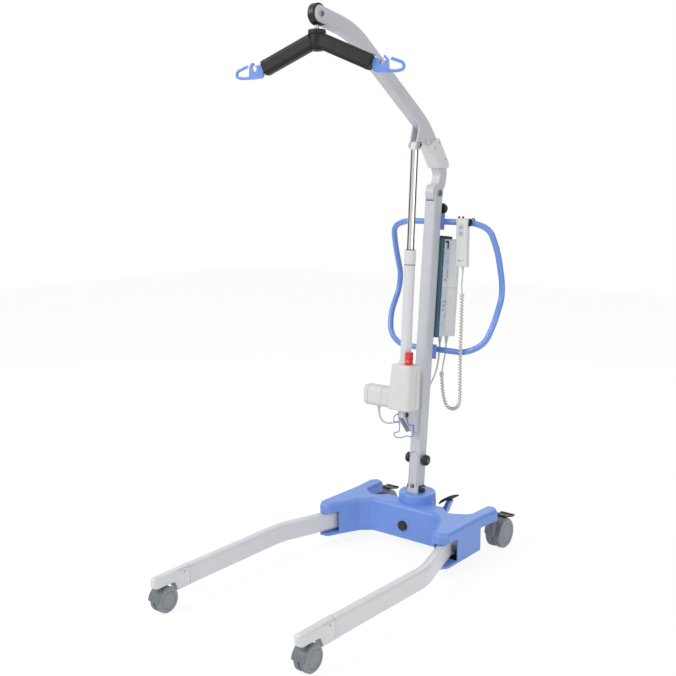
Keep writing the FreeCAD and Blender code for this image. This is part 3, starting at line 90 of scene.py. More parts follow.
class Nodes:
    """A material's node tree with short calls for adding and linking."""

    def __init__(self, material):
        self.material = material
        self.material.use_nodes = True
        self.tree = self.material.node_tree
        self.shader = self.tree.nodes["Principled BSDF"]
        self.place = self.add("ShaderNodeTexCoord").outputs["Object"]

    def add(self, kind, **values):
        item = self.tree.nodes.new(kind)
        for key, value in values.items():
            setattr(item, key, value)
        return item

    def link(self, source, target):
        self.tree.links.new(source, target)

    def fill(self, item, **inputs):
        for key, value in inputs.items():
            socket = item.inputs[key.replace("_", " ")]
            if isinstance(value, bpy.types.NodeSocket):
                self.link(value, socket)
            else:
                socket.default_value = value
        return item

    def noise(self, scale, detail=3, rough=0.5, stretch=None):
        place = self.place
        if stretch:
            mapping = self.fill(self.add("ShaderNodeMapping"), Vector=place, Scale=stretch)
            place = mapping.outputs["Vector"]
        item = self.fill(self.add("ShaderNodeTexNoise"), Vector=place, Scale=scale, Detail=detail,
                         Roughness=rough)
        return item.outputs["Fac"]

    def ramp(self, source, stops):
        item = self.add("ShaderNodeValToRGB")
        points = item.color_ramp.elements
        while len(points) < len(stops):
            points.new(0.5)
        for point, (at, colour) in zip(points, stops):
            point.position = at
            point.color = colour
        self.link(source, item.inputs["Fac"])
        return item.outputs["Color"]

    def spread(self, source, low, high, start=0.3, end=0.7):
        item = self.fill(self.add("ShaderNodeMapRange"), Value=source, From_Min=start, From_Max=end,
                         To_Min=low, To_Max=high)
        return item.outputs["Result"]

    def mix(self, factor, a, b, blend="MIX"):
        item = self.add("ShaderNodeMix", data_type="RGBA", blend_type=blend)
        for socket, value in ((item.inputs[0], factor), (item.inputs[6], a), (item.inputs[7], b)):
            if isinstance(value, bpy.types.NodeSocket):
                self.link(value, socket)
            else:
                socket.default_value = value
        return item.outputs[2]

    def bump(self, height, strength, distance, normal=None):
        item = self.fill(self.add("ShaderNodeBump"), Height=height, Strength=strength, Distance=distance)
        if normal:
            self.link(normal, item.inputs["Normal"])
        return item.outputs["Normal"]

    def rounded(self, radius):
        item = self.add("ShaderNodeBevel", samples=4)
        item.inputs["Radius"].default_value = radius
        return item.outputs["Normal"]


def shade(colour, factor):
    """The same colour, darker or lighter."""
    return tuple(min(1, c * factor) for c in colour[:3]) + (1,)


def finish(name, colour, rough, metal=0.0, coat=0.0, tint=0.06, grain=900, depth=0.00006, strength=0.35,
           edge=0.0006, patches=9, specular=0.5, stretch=None):
    """A moulded, painted or plated surface: tint patches, grain bump, uneven gloss and soft edges."""
    made = Nodes(bpy.data.materials.new(name))
    base = linear(*colour)
    broad = made.noise(patches, 4, 0.6)
    tinted = made.ramp(broad, [(0.3, shade(base, 1 - tint)), (0.7, shade(base, 1 + tint))])
    small = made.noise(grain, 2, 0.6, stretch)
    made.link(tinted, made.shader.inputs["Base Color"])
    made.link(made.spread(made.noise(patches * 6, 3), rough * 0.85, rough * 1.15),
              made.shader.inputs["Roughness"])
    corner = made.rounded(edge) if edge else None
    made.link(made.bump(small, strength, depth, corner), made.shader.inputs["Normal"])
    made.fill(made.shader, Metallic=metal, Coat_Weight=coat, Coat_Roughness=0.12, Specular_IOR_Level=specular)
    return made.material


# The inside of a leg's pocket, in metres: aside from the middle, along the lift and up. The cover gets
# painted shade there.
POCKET_SHADE_BOX = ((0.189, 0.2512), (0.2185, 0.272), (0.0455, 0.1172))


def paint_pocket_shade(material):
    """Paint shade on the cover where it faces into the two pockets that the legs come out of."""
    made = Nodes(material)
    socket = made.shader.inputs["Base Color"]
    tinted = socket.links[0].from_socket
    split = made.add("ShaderNodeSeparateXYZ")
    made.link(made.place, split.inputs[0])
    across = made.add("ShaderNodeMath", operation="ABSOLUTE")
    made.link(split.outputs["X"], across.inputs[0])
    pocket_shade_mask = None
    sources = (across.outputs[0], split.outputs["Y"], split.outputs["Z"])
    for source, (low, high) in zip(sources, POCKET_SHADE_BOX):
        for limit, kind in ((low, "GREATER_THAN"), (high, "LESS_THAN")):
            test = made.add("ShaderNodeMath", operation=kind)
            made.link(source, test.inputs[0])
            test.inputs[1].default_value = limit
            both = made.add("ShaderNodeMath", operation="MULTIPLY")
            made.link(test.outputs[0], both.inputs[0])
            both.inputs[1].default_value = 1
            if pocket_shade_mask:
                made.link(pocket_shade_mask, both.inputs[1])
            pocket_shade_mask = both.outputs[0]
    # painted shade: a dark blue-grey over the cover inside the pockets
    made.link(made.mix(pocket_shade_mask, tinted, linear(26, 32, 44)), socket)
    return material


LOOKS = {
    "frame_grey": finish("frame_grey", (203, 205, 211), 0.42, coat=0.15, tint=0.02, grain=1400),
    "cover_blue": paint_pocket_shade(finish("cover_blue", (118, 155, 230), 0.38, tint=0.03, grain=1900)),
    "rail_blue": finish("rail_blue", (110, 150, 228), 0.3, coat=0.4, tint=0.02, grain=1200),
    "leg_white": finish("leg_white", (222, 223, 226), 0.38, coat=0.2, tint=0.015, grain=1400),
    "cap_white": finish("cap_white", (224, 226, 228), 0.45, tint=0.015, grain=2000),
    "shell_white": finish("shell_white", (222, 224, 222), 0.48, tint=0.02, grain=2200),
    "castor_grey": finish("castor_grey", (143, 149, 155), 0.5, tint=0.05, grain=1800),
    "fork_grey": finish("fork_grey", (116, 122, 128), 0.5, tint=0.05, grain=1800),
    "black_plastic": finish("black_plastic", (22, 23, 26), 0.4, tint=0.08, grain=2200),
    "black_pad": finish("black_pad", (17, 16, 19), 0.5, tint=0.1, grain=1500, strength=0.5, specular=0.4),
    "bright_chrome": finish("bright_chrome", (206, 204, 200), 0.09, metal=1.0, tint=0.01, depth=0.00001,
                            edge=0),
    "plain_steel": finish("plain_steel", (168, 168, 172), 0.3, metal=1.0, tint=0.05, grain=700,
                          stretch=(1, 1, 12)),
    "deep_teal": finish("deep_teal", (62, 96, 118), 0.4, tint=0.08, grain=1900),
    "red_plastic": finish("red_plastic", (226, 48, 34), 0.32, coat=0.2, tint=0.05, grain=1700),
    "cord_grey": finish("cord_grey", (212, 211, 206), 0.5, tint=0.03, grain=2600, edge=0),
    "key_grey": finish("key_grey", (196, 202, 208), 0.6, tint=0.04, grain=2400),
    "seam_grey": finish("seam_grey", (150, 152, 156), 0.6, tint=0.06, grain=1800, edge=0),
    "pale_panel": finish("pale_panel", (208, 218, 226), 0.4, tint=0.02, grain=2400, edge=0.0003),
    "pale_strip": finish("pale_strip", (196, 203, 197), 0.45, tint=0.03, grain=2400, edge=0.0002),
    "print_blue": finish("print_blue", (138, 156, 188), 0.5, tint=0.05, grain=2600, edge=0),
    "print_dark": finish("print_dark", (58, 62, 70), 0.5, tint=0.08, grain=2600, edge=0),
    "tyre_grey": finish("tyre_grey", (128, 134, 140), 0.7, tint=0.07, grain=1600, strength=0.6),
    "knob_grey": finish("knob_grey", (104, 108, 112), 0.4, tint=0.08, grain=2000),
    # painted shade for the waist of the red release handle
    "painted_shade_red": finish("painted_shade_red", (150, 24, 18), 0.45, tint=0.08, grain=2000),
    # painted shade for the sheets in the leg pockets, and the dark of the reflection cards
    "shade_and_card_dark": finish("shade_and_card_dark", (24, 27, 34), 0.8, tint=0.12, grain=1500, edge=0),
}


def dress(item, look):
    """Give a piece one finish all over."""
    item.data.materials.clear()
    item.data.materials.append(LOOKS[look])


for row in frame["record"]["subparts"]:
    nodes[row["node"]].material_slots[0].material = LOOKS[row["material_slot"]]


# ---------------------------------------------------------------- mesh helpers

def add(item, body, look, bevel=0.0, smooth=35):
    """Link a new piece, round it, dress it and hang it on its body. The bevel is in millimetres."""
    bpy.context.scene.collection.objects.link(item)
    dress(item, look)
    if item.type == "MESH":
        item.data.shade_smooth()
        item.data.set_sharp_from_angle(angle=math.radians(smooth))
        if bevel:
            rounding = item.modifiers.new("Rounding", "BEVEL")
            rounding.width = bevel * MM
            rounding.segments = 3
            rounding.limit_method = "ANGLE"
            rounding.angle_limit = math.radians(40)
            item.modifiers.new("Even", "WEIGHTED_NORMAL")
    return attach(item, body)


def from_bmesh(name, shape, place):
    """Make an object from points in millimetres and stand it in its place."""
    bmesh.ops.remove_doubles(shape, verts=shape.verts, dist=1e-4)
    bmesh.ops.recalc_face_normals(shape, faces=shape.faces)
    mesh = bpy.data.meshes.new(name)
    shape.to_mesh(mesh)
    shape.free()
    mesh.transform(place @ Matrix.Scale(MM, 4))
    return bpy.data.objects.new(name, mesh)


def spin(shape, profile, steps=40, offset=(0, 0)):
    """Turn a closed profile of (radius, height) about an upright axis."""
    rings = []
    for n in range(steps):
        angle = 2 * math.pi * n / steps
        rings.append([shape.verts.new((offset[0] + r * math.cos(angle), offset[1] + r * math.sin(angle), h))
                      for r, h in profile])
    count = len(profile)
    for n in range(steps):
        a, b = rings[n], rings[(n + 1) % steps]
        for k in range(count):
            shape.faces.new((a[k], a[(k + 1) % count], b[(k + 1) % count], b[k]))


def turned(name, profile, place, steps=40):
    """Make one turned piece, clear of doubled points on its axis."""
    shape = bmesh.new()
    spin(shape, profile, steps)
    bmesh.ops.remove_doubles(shape, verts=shape.verts, dist=1e-4)
    bmesh.ops.dissolve_degenerate(shape, dist=1e-4, edges=shape.edges)
    return from_bmesh(name, shape, place)


def prism(shape, points, low, high):
    """Add a flat outline, stood up between two heights."""
    bottom = [shape.verts.new((x, y, low)) for x, y in points]
    top = [shape.verts.new((x, y, high)) for x, y in points]
    shape.faces.new(bottom[::-1])
    shape.faces.new(top)
    for n in range(len(points)):
        m = (n + 1) % len(points)
        shape.faces.new((bottom[n], bottom[m], top[m], top[n]))


def slab(name, points, low, high, place):
    """Make one piece from a flat outline between two heights of its own Z."""
    shape = bmesh.new()
    prism(shape, points, low, high)
    return from_bmesh(name, shape, place)


def rounded(wide, high, radius, steps=6):
    """The outline of a rectangle with round corners, about its middle."""
    points = []
    for n, (x, y) in enumerate(((1, 1), (-1, 1), (-1, -1), (1, -1))):
        for k in range(steps + 1):
            angle = math.pi / 2 * (n + k / steps)
            points.append((x * (wide / 2 - radius) + radius * math.cos(angle),
                           y * (high / 2 - radius) + radius * math.sin(angle)))
    return points


def moved(points, x, y):
    """The same outline, shifted."""
    return [(a + x, b + y) for a, b in points]


def ring(radius, count, wave=0.0, waves=0, start=0.0, end=360.0):
    """Points round a circle, or round a lobed one."""
    points = []
    for n in range(count):
        angle = math.radians(start + (end - start) * n / (count if end - start == 360 else count - 1))
        size = radius + wave * math.cos(waves * angle)
        points.append((size * math.cos(angle), size * math.sin(angle)))
    return points


def plane(base, spot, across, up):
    """A place on a face: its own X runs across the face, its own Y up it and its own Z out of it."""
    across, up = Vector(across).normalized(), Vector(up).normalized()
    turn = Matrix((across, up, across.cross(up))).transposed().to_4x4()
    return base @ Matrix.Translation(Vector(spot) * MM) @ turn


def right_of(base, side, x, v, w):
    """A place on a face that looks to one side."""
    return plane(base, (side * x, v, w), (0, side, 0), (0, 0, 1))


def front_of(base, x, v, w):
    """A place on a face that looks to the front."""
    return plane(base, (x, v, w), (1, 0, 0), (0, 0, 1))


def back_of(base, x, v, w):
    """A place on a face that looks to the back."""
    return plane(base, (x, v, w), (-1, 0, 0), (0, 0, 1))


def top_of(base, x, v, w):
    """A place on a face that looks up."""
    return plane(base, (x, v, w), (1, 0, 0), (0, 1, 0))


def bolt(name, body, place, size=5, high=2.5, look="plain_steel"):
    """A hexagon head on a thin washer."""
    shape = bmesh.new()
    prism(shape, ring(size, 6), 0.4, high)
    spin(shape, [(0, 0), (size * 1.25, 0), (size * 1.25, 0.7), (0, 0.7)], 24)
    return add(from_bmesh(name, shape, place), body, look, 0.35)


def screw(name, body, place, size=3, look="plain_steel"):
    """A domed screw with a round recess in its head."""
    shape = bmesh.new()
    spin(shape, [(0, -0.5), (size, -0.5), (size, 0.3), (size * 0.8, 0.9), (size * 0.45, 1.15),
                 (size * 0.4, 0.5), (0, 0.5)], 24)
    return add(from_bmesh(name, shape, place), body, look, 0)


# ---------------------------------------------------------------- cords

LEAD_RADIUS, COIL_RADIUS, MOTOR_RADIUS = 0.0026, 0.0068, 0.0032
COIL_PITCH = 0.0098
DROP = [(112, 448, 940.5), (112, 448, 905), (113, 441, 880), (119, 436, 850)]
CURL = [(119, 436, 850), (121, 431, 752), (120, 429.5, 650), (119, 434, 555), (114, 443, 462),
        (36, 459, 462), (28, 466, 575)]
RISE = [(28, 466, 575), (27.5, 474, 605), (25, 492.1, 640), (25, 495, 673.6)]
MOTOR_ROUTE = [(-100, 282.7, 471.2), (-100, 284, 440), (-80, 290, 418), (-45, 300, 425), (-30, 325, 432),
               (-27, 360, 436), (-27, 400, 450), (-24, 434, 490), (-2, 455, 545), (15, 467, 605),
               (16, 469.6, 675.8)]


def spline(name, points, radius=0.0, scale=MM):
    """One smooth open curve whose control points are the route's."""
    curve = bpy.data.curves.new(name, "CURVE")
    curve.dimensions = "3D"
    curve.resolution_u = 8
    if radius:
        curve.bevel_depth = 1
        curve.bevel_resolution = 3
        curve.use_fill_caps = True
    line = curve.splines.new("NURBS")
    line.points.add(len(points) - 1)
    for point, spot in zip(line.points, points):
        point.co = (spot[0] * scale, spot[1] * scale, spot[2] * scale, 1)
        point.radius = radius
    line.order_u = 3
    line.use_endpoint_u = True
    return bpy.data.objects.new(name, curve)


def followed(points, scale=MM):
    """The points that a route's spline runs through."""
    guide = spline("guide", points, scale=scale)
    bpy.context.scene.collection.objects.link(guide)
    mesh = bpy.data.meshes.new_from_object(guide.evaluated_get(bpy.context.evaluated_depsgraph_get()))
    spots = [v.co.copy() for v in mesh.vertices]
    bpy.data.meshes.remove(mesh)
    bpy.data.objects.remove(guide)
    return spots


def helix(points, radius, pitch, per_turn=12):
    """Wind turns round a route, easing in and out at its ends."""
    spots = followed(points)
    lengths = [0.0]
    for a, b in zip(spots, spots[1:]):
        lengths.append(lengths[-1] + (b - a).length)
    total = lengths[-1]
    count = round(total / pitch * per_turn)
    side = X.copy()
    made, k = [], 0
    for n in range(count + 1):
        run = total * n / count
        while k < len(spots) - 2 and lengths[k + 1] < run:
            k += 1
        share = (run - lengths[k]) / max(lengths[k + 1] - lengths[k], 1e-9)
        way = (spots[k + 1] - spots[k]).normalized()
        centre = spots[k].lerp(spots[k + 1], share)
        side = (side - way * side.dot(way)).normalized()
        angle = 2 * math.pi * n / per_turn
        ease = min(1, n / per_turn, (count - n) / per_turn)
        made.append(centre + (side * math.cos(angle) + way.cross(side) * math.sin(angle)) * radius * ease)
    return made


def metres(points):
    """A route in metres, as the spline and the length measure take it."""
    return [Vector(p) * MM for p in points]


def measure(points):
    """The length of a route's smooth line, in the route's own unit."""
    spots = followed(points, 1)
    return sum((b - a).length for a, b in zip(spots, spots[1:]))


def coil_collar(name, a, b):
    """A short moulded collar where the coil begins or ends."""
    place = plane(ROOT, a, X, (Vector(b) - Vector(a)).normalized().cross(X))
    profile = [(0, -4), (5.4, -4), (7.4, -2), (7.4, 8), (6.2, 10), (0, 10)]
    return add(turned(name, profile, place), "base", "cord_grey")


def cord_plugs():
    """The two moulded plugs under the control box, with ribbed, tapered tails."""
    profile = [(0, 6), (4.2, 6), (4.2, 0), (6.8, -0.4), (6.8, -5), (6, -6.5), (6.2, -15), (5.4, -17)]
    for n in range(4):
        thick, down = 4.9 - 0.5 * n, -18 - 3 * n
        profile += [(thick, down), (thick - 0.7, down - 1), (thick - 0.7, down - 2.4)]
    profile += [(2.9, -31), (0, -31)]
    shape = bmesh.new()
    for port in PORTS:
        spin(shape, profile, 28, port)
    bmesh.ops.translate(shape, verts=shape.verts, vec=(0, 0, PLUGS_W))
    return add(from_bmesh("lead_plugs", shape, MAST), "base", "cord_grey", smooth=50)


def reliefs():
    """The tapered strain reliefs where the cords leave the handset and the motor."""
    handset = [(0, 2), (5, 2), (4.8, -3), (4.1, -4), (4.1, -7), (3.9, -8), (3.9, -11), (3.6, -12),
               (3.6, -15), (3.3, -16), (3, -24), (0, -24)]
    motor = [(0, 3), (4.6, 3), (4.6, -2), (4, -3), (4, -6), (3.7, -14), (0, -14)]
    for name, profile, spot in (("handset_relief", handset, DROP[0]),
                                ("motor_relief", motor, MOTOR_ROUTE[0])):
        add(turned(name, profile, top_of(ROOT, *spot)), "base", "cord_grey", smooth=50)


cord_points = metres(DROP[:-1]) + helix(CURL, COIL_RADIUS - LEAD_RADIUS, COIL_PITCH) + metres(RISE[1:])
handset_line = add(spline("handset_line", cord_points, LEAD_RADIUS, 1), "base", "cord_grey")
handset_line.data.resolution_u = 4
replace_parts(handset_line, "handset_cord")
motor_line = add(spline("motor_line", MOTOR_ROUTE, MOTOR_RADIUS), "base", "cord_grey")
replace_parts(motor_line, "motor_lead")
collars = [coil_collar("coil_collar_top", CURL[0], CURL[1]),
           coil_collar("coil_collar_end", CURL[-1], CURL[-2])]
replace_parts(cord_plugs(), "cord_plugs")
reliefs()

measure(cord_points)
measure(metres(MOTOR_ROUTE))


# ---------------------------------------------------------------- castors and legs

def castor(name, end, radius, wide, gap, centre):
    """Tyre bands, hub discs and a fine ring on each wheel of a twin castor."""
    body = "wheels_%s_%s" % (end, name)
    far = gap / 2 + wide
    for out, letter in ((-1, "a"), (1, "b")):
        place = plane(ROOT, centre, (0, out, 0), Z)
        label = "%s_%s_%s" % (end, name, letter)
        band = [(radius - 2, gap / 2 + 2.4), (radius + 0.2, gap / 2 + 3), (radius + 0.3, gap / 2 + 5),
                (radius + 0.3, far - 8), (radius + 0.1, far - 5.4), (radius - 2, far - 5)]
        add(turned("tyre_" + label, band, place, 64), body, "tyre_grey")
        hub = [(0, far - 1), (0, far + 0.9), (radius * 0.2, far + 0.9), (radius * 0.23, far + 0.3),
               (radius * 0.3, far + 0.3), (radius * 0.33, far + 1), (radius * 0.47, far + 1),
               (radius * 0.5, far - 1)]
        add(turned("hub_" + label, hub, place, 48), body, "castor_grey")
        line = [(radius * 0.61, far - 1.2), (radius * 0.61, far - 1.36), (radius * 0.73, far - 1.36),
                (radius * 0.73, far - 1.2)]
        add(turned("groove_" + label, line, place, 48), body, "fork_grey")


def leg_details(name, side):
    """The end cap's seam and screws, and the ring round the castor's stem."""
    body = "leg_" + name
    leg = Matrix.Translation((side * 0.280, -0.012, 0))
    leg = leg @ Matrix.Rotation(math.radians(-side * 1.179), 4, "Z")
    seam = slab("cap_seam_" + name, rounded(30.3, 64.3, 12.1), -0.4, 0.5, front_of(leg, 0, -418.3, 81))
    add(seam, body, "seam_grey")
    for n, out in enumerate((-1, 1)):
        screw("cap_screw_%s_%d" % (name, n), body, right_of(leg, out, 15, -440, 100), 2.6, "seam_grey")
    boot = [(6, -1.4), (12.5, -1.4), (13, -0.6), (13, 0.6), (6, 0.6)]
    add(turned("stem_ring_" + name, boot, top_of(leg, 0, -528, 82)), body, "black_plastic")


def brake_ribs(name, side):
    """Four ribs across the end of a rear castor's brake pedal."""
    ribs = bmesh.new()
    for n in range(4):
        prism(ribs, moved(rounded(40, 1.6, 0.7, 3), 0, 46 + 2.8 * n), 0, 0.9)
    tab = top_of(ROOT, side * 238, 513, 100.2)
    add(from_bmesh("brake_ribs_" + name, ribs, tab), "brake_" + name, "black_plastic")


for name, side in SIDES:
    castor(name, "front", radius=37.5, wide=17, gap=8, centre=(side * 269.14, -519.89, 37.5))
    castor(name, "rear", radius=50, wide=22, gap=12, centre=(side * 238, 513, 50))
    leg_details(name, side)
    brake_ribs(name, side)


# ---------------------------------------------------------------- base, pedal and mast foot

def pocket_shade_sheets(name, side):
    """Painted shade: a dark sheet under the leg's pocket and a dark sheet across it, where there is only
    shade.
    """
    pan = moved(rounded(45, 134, 4), side * 226.5, 285)
    add(slab("pocket_shade_under_" + name, pan, 38.3, 39.6, ROOT), "base", "shade_and_card_dark")
    baffle = moved(rounded(20, 64, 3), side * 238.5, 83)
    add(slab("pocket_shade_across_" + name, baffle, 0, 1.4, front_of(ROOT, 0, 260, 0)), "base", "shade_and_card_dark")


def pedal_details():
    """The shaft's round cap, the slot in the turret and the ribs on both treads."""
    cap = [(0, -7), (16.5, -7), (16.5, -1.6), (15.6, 0.2), (12, 1.2), (11.4, 0.7), (4, 1), (0, 1)]
    add(turned("pedal_hub_cap", cap, front_of(ROOT, 0, SHAFT_Y, SHAFT_Z)), "pedal", "black_plastic")
    bearing = math.radians(24)
    out = Vector((math.cos(bearing), math.sin(bearing), 0))
    port = plane(ROOT, Vector((0, TURRET_Y, PORT_Z)) + out * PORT_OUT, Z.cross(out), Z)
    add(slab("turret_port", rounded(15, 42, 7.4), -3, 0.9, port), "base", "black_plastic", 0.8)
    ribs = bmesh.new()
    spots = ((52, 38.8, 30), (60, 43.1, 24), (68, 45.5, 18), (76, 47.3, 14), (84, 48.6, 6), (92, 49, 4))
    for side in (-1, 1):
        for x, z, tilt in spots:
            lean = math.tan(math.radians(tilt)) * 0.9
            strip = [(side * (x - 0.9), z - lean - 0.6), (side * (x + 0.9), z + lean - 0.6),
                     (side * (x + 0.8), z + lean + 0.9), (side * (x - 0.8), z - lean + 0.9)]
            prism(ribs, strip if side > 0 else strip[::-1], -23, 23)
    add(from_bmesh("tread_ribs", ribs, front_of(PEDAL, 0, 471, 0)), "pedal", "black_pad")


GRIP_WIDE = 8.5


def knob_details(grip, centre, body, face, low, disc):
    """The fluted grip and the lighter centre of a hand knob."""
    add(slab(grip, ring(17.9, 90, 0.7, 9), low, low + GRIP_WIDE, face), body, "black_plastic", 0.5)
    add(turned(centre, disc, face), body, "knob_grey")


def foot_side(name, side):
    """The latch, the knob and the two bolt heads on one side of the mast."""
    face = right_of(MAST, side, 27, 1, LATCH_W)
    add(slab("latch_plate_" + name, rounded(21, 13.5, 2.6), -0.3, 0.5, face), "base", "plain_steel", 0.2)
    add(slab("latch_slot_" + name, moved(rounded(4.6, 9, 1), -6.6, 0), 0.3, 0.8, face), "base",
        "black_plastic")
    face = right_of(MAST, side, MAST_HALF + 0.3, 0, KNOB_W)
    disc = [(0, 21.6), (6.4, 21.6), (6.4, 22.4), (5.4, 22.9), (0, 23)]
    knob_details("knob_grip_" + name, "knob_centre_" + name, "knob_" + name, face, 7, disc)
    bolt("hinge_nut_" + name, "base", right_of(MAST, side, 24.5, 0, HINGE_W), 6.2, 3.2, "knob_grey")
    bolt("foot_nut_" + name, "base", right_of(JACK, side, 15.6, 0, 0), 6.4, 3, "black_plastic")


def foot_seam():
    """A thin line round the foot's front panel, with an arch at its top."""
    half, low, thick = 16, 200, 0.9
    arch = [(x, 305 + 16 * math.cos(math.radians(4.6 * x))) for x in range(-half, half + 1, 4)]
    inner = [(x * 0.945, w - thick) for x, w in arch]
    line = [(-half, low)] + arch + [(half, low), (half - thick, low)] + inner[::-1] + [(thick - half, low)]
    add(slab("foot_seam", [(x, w - 250) for x, w in line], -0.3, 0.25,
             front_of(MAST, 0, -MAST_FACE, 250)), "base", "knob_grey")


for name, side in SIDES:
    pocket_shade_sheets(name, side)
pedal_details()
for name, side in SIDES:
    foot_side(name, side)
lock_disc = [(0, 42.6), (8.6, 42.6), (8.6, 43.3), (7.2, 43.9), (0, 44)]
knob_details("lock_grip", "lock_centre", "lock_knob", back_of(MAST, 0, MAST_FACE + 0.3, LOCK_W), 28,
             lock_disc)
add(slab("mast_strip", rounded(16.5, 102, 1.4), -0.2, 0.25, right_of(MAST, 1, MAST_HALF, 10.5, 981)),
    "base", "pale_strip")
foot_seam()
add(slab("foot_slot", rounded(5.5, 5.5, 1), 2.6, 3.4, front_of(MAST, 0, -MAST_FACE, 204.5)), "base",
    "plain_steel", 0.3)


# ---------------------------------------------------------------- push handle, control box and handset

def flange_screws():
    """The screws that hold the push handle's flanges to the mast."""
    spots = ((-22, 1068), (22, 1068), (-22, 1108), (22, 1108), (-23, 641), (23, 641), (-23, 671), (23, 671))
    for n, (x, w) in enumerate(spots):
        screw("flange_screw_%d" % n, "base", back_of(MAST, x, 30, w), 4.6)


def prints(name, place, spots, look, low=0.3, high=0.5):
    """Plain generic marks, each a small rounded bar of (across, up, width, height)."""
    shape = bmesh.new()
    for x, y, wide, tall, radius in spots:
        prism(shape, moved(rounded(wide, tall, radius, 3), x, y), low, high)
    add(from_bmesh(name, shape, place), "base", look)


def box_side(name, side):
    """Panels, generic marks and the battery's clip on one side of the control box."""
    low = right_of(MAST, side, BOX_HALF, 56, 790)
    high = right_of(MAST, side, BOX_HALF, 56, 950)
    for label, tall, place in (("box", 150, low), ("pack", 128, high)):
        add(slab("%s_panel_%s" % (label, name), rounded(29, tall, 3), -0.5, 0.35, place), "base",
            "pale_panel", 0.2)
    marks = {
        "low": (low, ((7, 32, 2.2, 20), (-6, -40, 6, 2.2), (-6, -46, 4, 2.2), (7, -12, 2.2, 12))),
        "high": (high, ((7, -34, 2.4, 26), (-5, -52, 7, 5), (6, -56, 3.2, 3.2), (7, 10, 2, 9))),
    }
    for label, (place, spots) in marks.items():
        bars = [(x, y, wide, tall, min(wide, tall) * 0.45) for x, y, wide, tall in spots]
        prints("box_marks_%s_%s" % (label, name), place, bars, "print_dark", high=0.55)
    prints("box_signs_" + name, low, [(-5, y, 8, 7, 1.6) for y in (36, 22, 8)], "print_blue")
    clip = [(-16, 9), (3, 9), (3, -17), (-3, -17), (-3, 3), (-16, 3)]
    add(slab("pack_clip_" + name, clip, -1, 2.2, right_of(MAST, side, BOX_HALF, 57, 1018)), "base",
        "black_plastic", 0.6)
    prints("mount_marks_" + name, right_of(MAST, side, BOX_HALF, 30, MARKS_W),
           [(0, y, 7, 3, 1) for y in (-118, -40, 64, 126)], "print_blue", -0.3, 0.3)


def box_details():
    """The latch on top, the two face panels, the stop button's collar and the row of lights."""
    top = top_of(MAST, 0, 55, PACK_LATCH_W)
    add(slab("pack_latch", rounded(60, 60, 4), -2.2, 6, top), "base", "black_plastic", 1)
    add(slab("pack_latch_plate", rounded(44, 40, 3), 5.8, 7, top), "base", "plain_steel", 0.3)
    add(slab("box_front", rounded(58, 138, 7), -0.5, 0.6, back_of(MAST, 0, BOX_FAR, 786)), "base",
        "pale_panel", 0.3)
    collar = [(11.6, 0), (15.5, 0), (15.5, 1.6), (14, 2.6), (11.6, 2.6)]
    add(turned("stop_collar", collar, back_of(MAST, 0, BOX_FAR + 0.4, STOP_W)), "base", "knob_grey")
    lights = bmesh.new()
    for x in (-15, -5, 5, 15):
        spin(lights, [(0, 0.4), (2.1, 0.4), (2.1, 0.9), (1.2, 1.3), (0, 1.4)], 20, (x, -8))
    add(from_bmesh("box_lights", lights, back_of(MAST, 0, BOX_FAR, 800)), "base", "print_blue")
    add(slab("pack_front", rounded(54, 70, 7), -0.5, 0.6, back_of(MAST, 0, BOX_FAR, 930)), "base",
        "pale_panel", 0.3)


def handset_details():
    """The handset's rounded head and tail, its marks, its keys' arrows and its hooks."""
    middle, _, low = HANDSET
    body = top_of(ROOT, *HANDSET)
    face = front_of(ROOT, middle, HANDSET_FACE, low)
    add(slab("handset_head", rounded(43.6, 25.6, 7.8), 137, 155.8, body), "base", "shell_white", 2.6)
    add(slab("handset_tail", rounded(43.2, 25.2, 7.6), -0.5, 15.5, body), "base", "shell_white", 1.8)
    add(slab("handset_dash", moved(rounded(9.5, 2.6, 1.2, 4), -6, 19.5), -0.2, 0.45, face), "base",
        "print_dark")
    add(slab("handset_sign", moved(rounded(5, 3, 1.4, 4), 6.5, 19.5), -0.2, 0.4, face), "base",
        "print_blue")
    up = [(-4.2, -2.2), (4.2, -2.2), (0, 3.4)]
    down = [(-4.2, 2.2), (0, -3.4), (4.2, 2.2)]
    for key, z, arrow in (("up_key", 1067, up), ("down_key", 1047, down)):
        add(slab(key + "_arrow", arrow, -0.1, 0.3, front_of(ROOT, middle, KEY_FACE, z)), key, "print_blue")
    tab = [(-2.6, -2), (2.6, -2), (2.6, 5), (1.4, 6.6), (-1.4, 6.6), (-2.6, 5)]
    for n, x in enumerate((94, 109)):
        add(slab("hanger_tab_%d" % n, tab, -2.5, 2.5, front_of(ROOT, x, 449, 1095.6)), "base",
            "black_plastic", 0.5)
    arc = ring(14.4, 14, start=-38, end=208) + ring(10.9, 14, start=-38, end=208)[::-1]
    for n, x in enumerate((87, 129.4)):
        for label, outline, y in (("prong", arc, TOP_BAR_Y), ("plate", rounded(17, 24, 3), 452.6)):
            place = plane(ROOT, (x, y, TOP_BAR_Z), Y, Z)
            add(slab("hanger_%s_%d" % (label, n), outline, 0, 3.6, place), "base", "black_plastic", 0.5)


flange_screws()
for name, side in SIDES:
    box_side(name, side)
box_details()
handset_details()


# ---------------------------------------------------------------- actuator

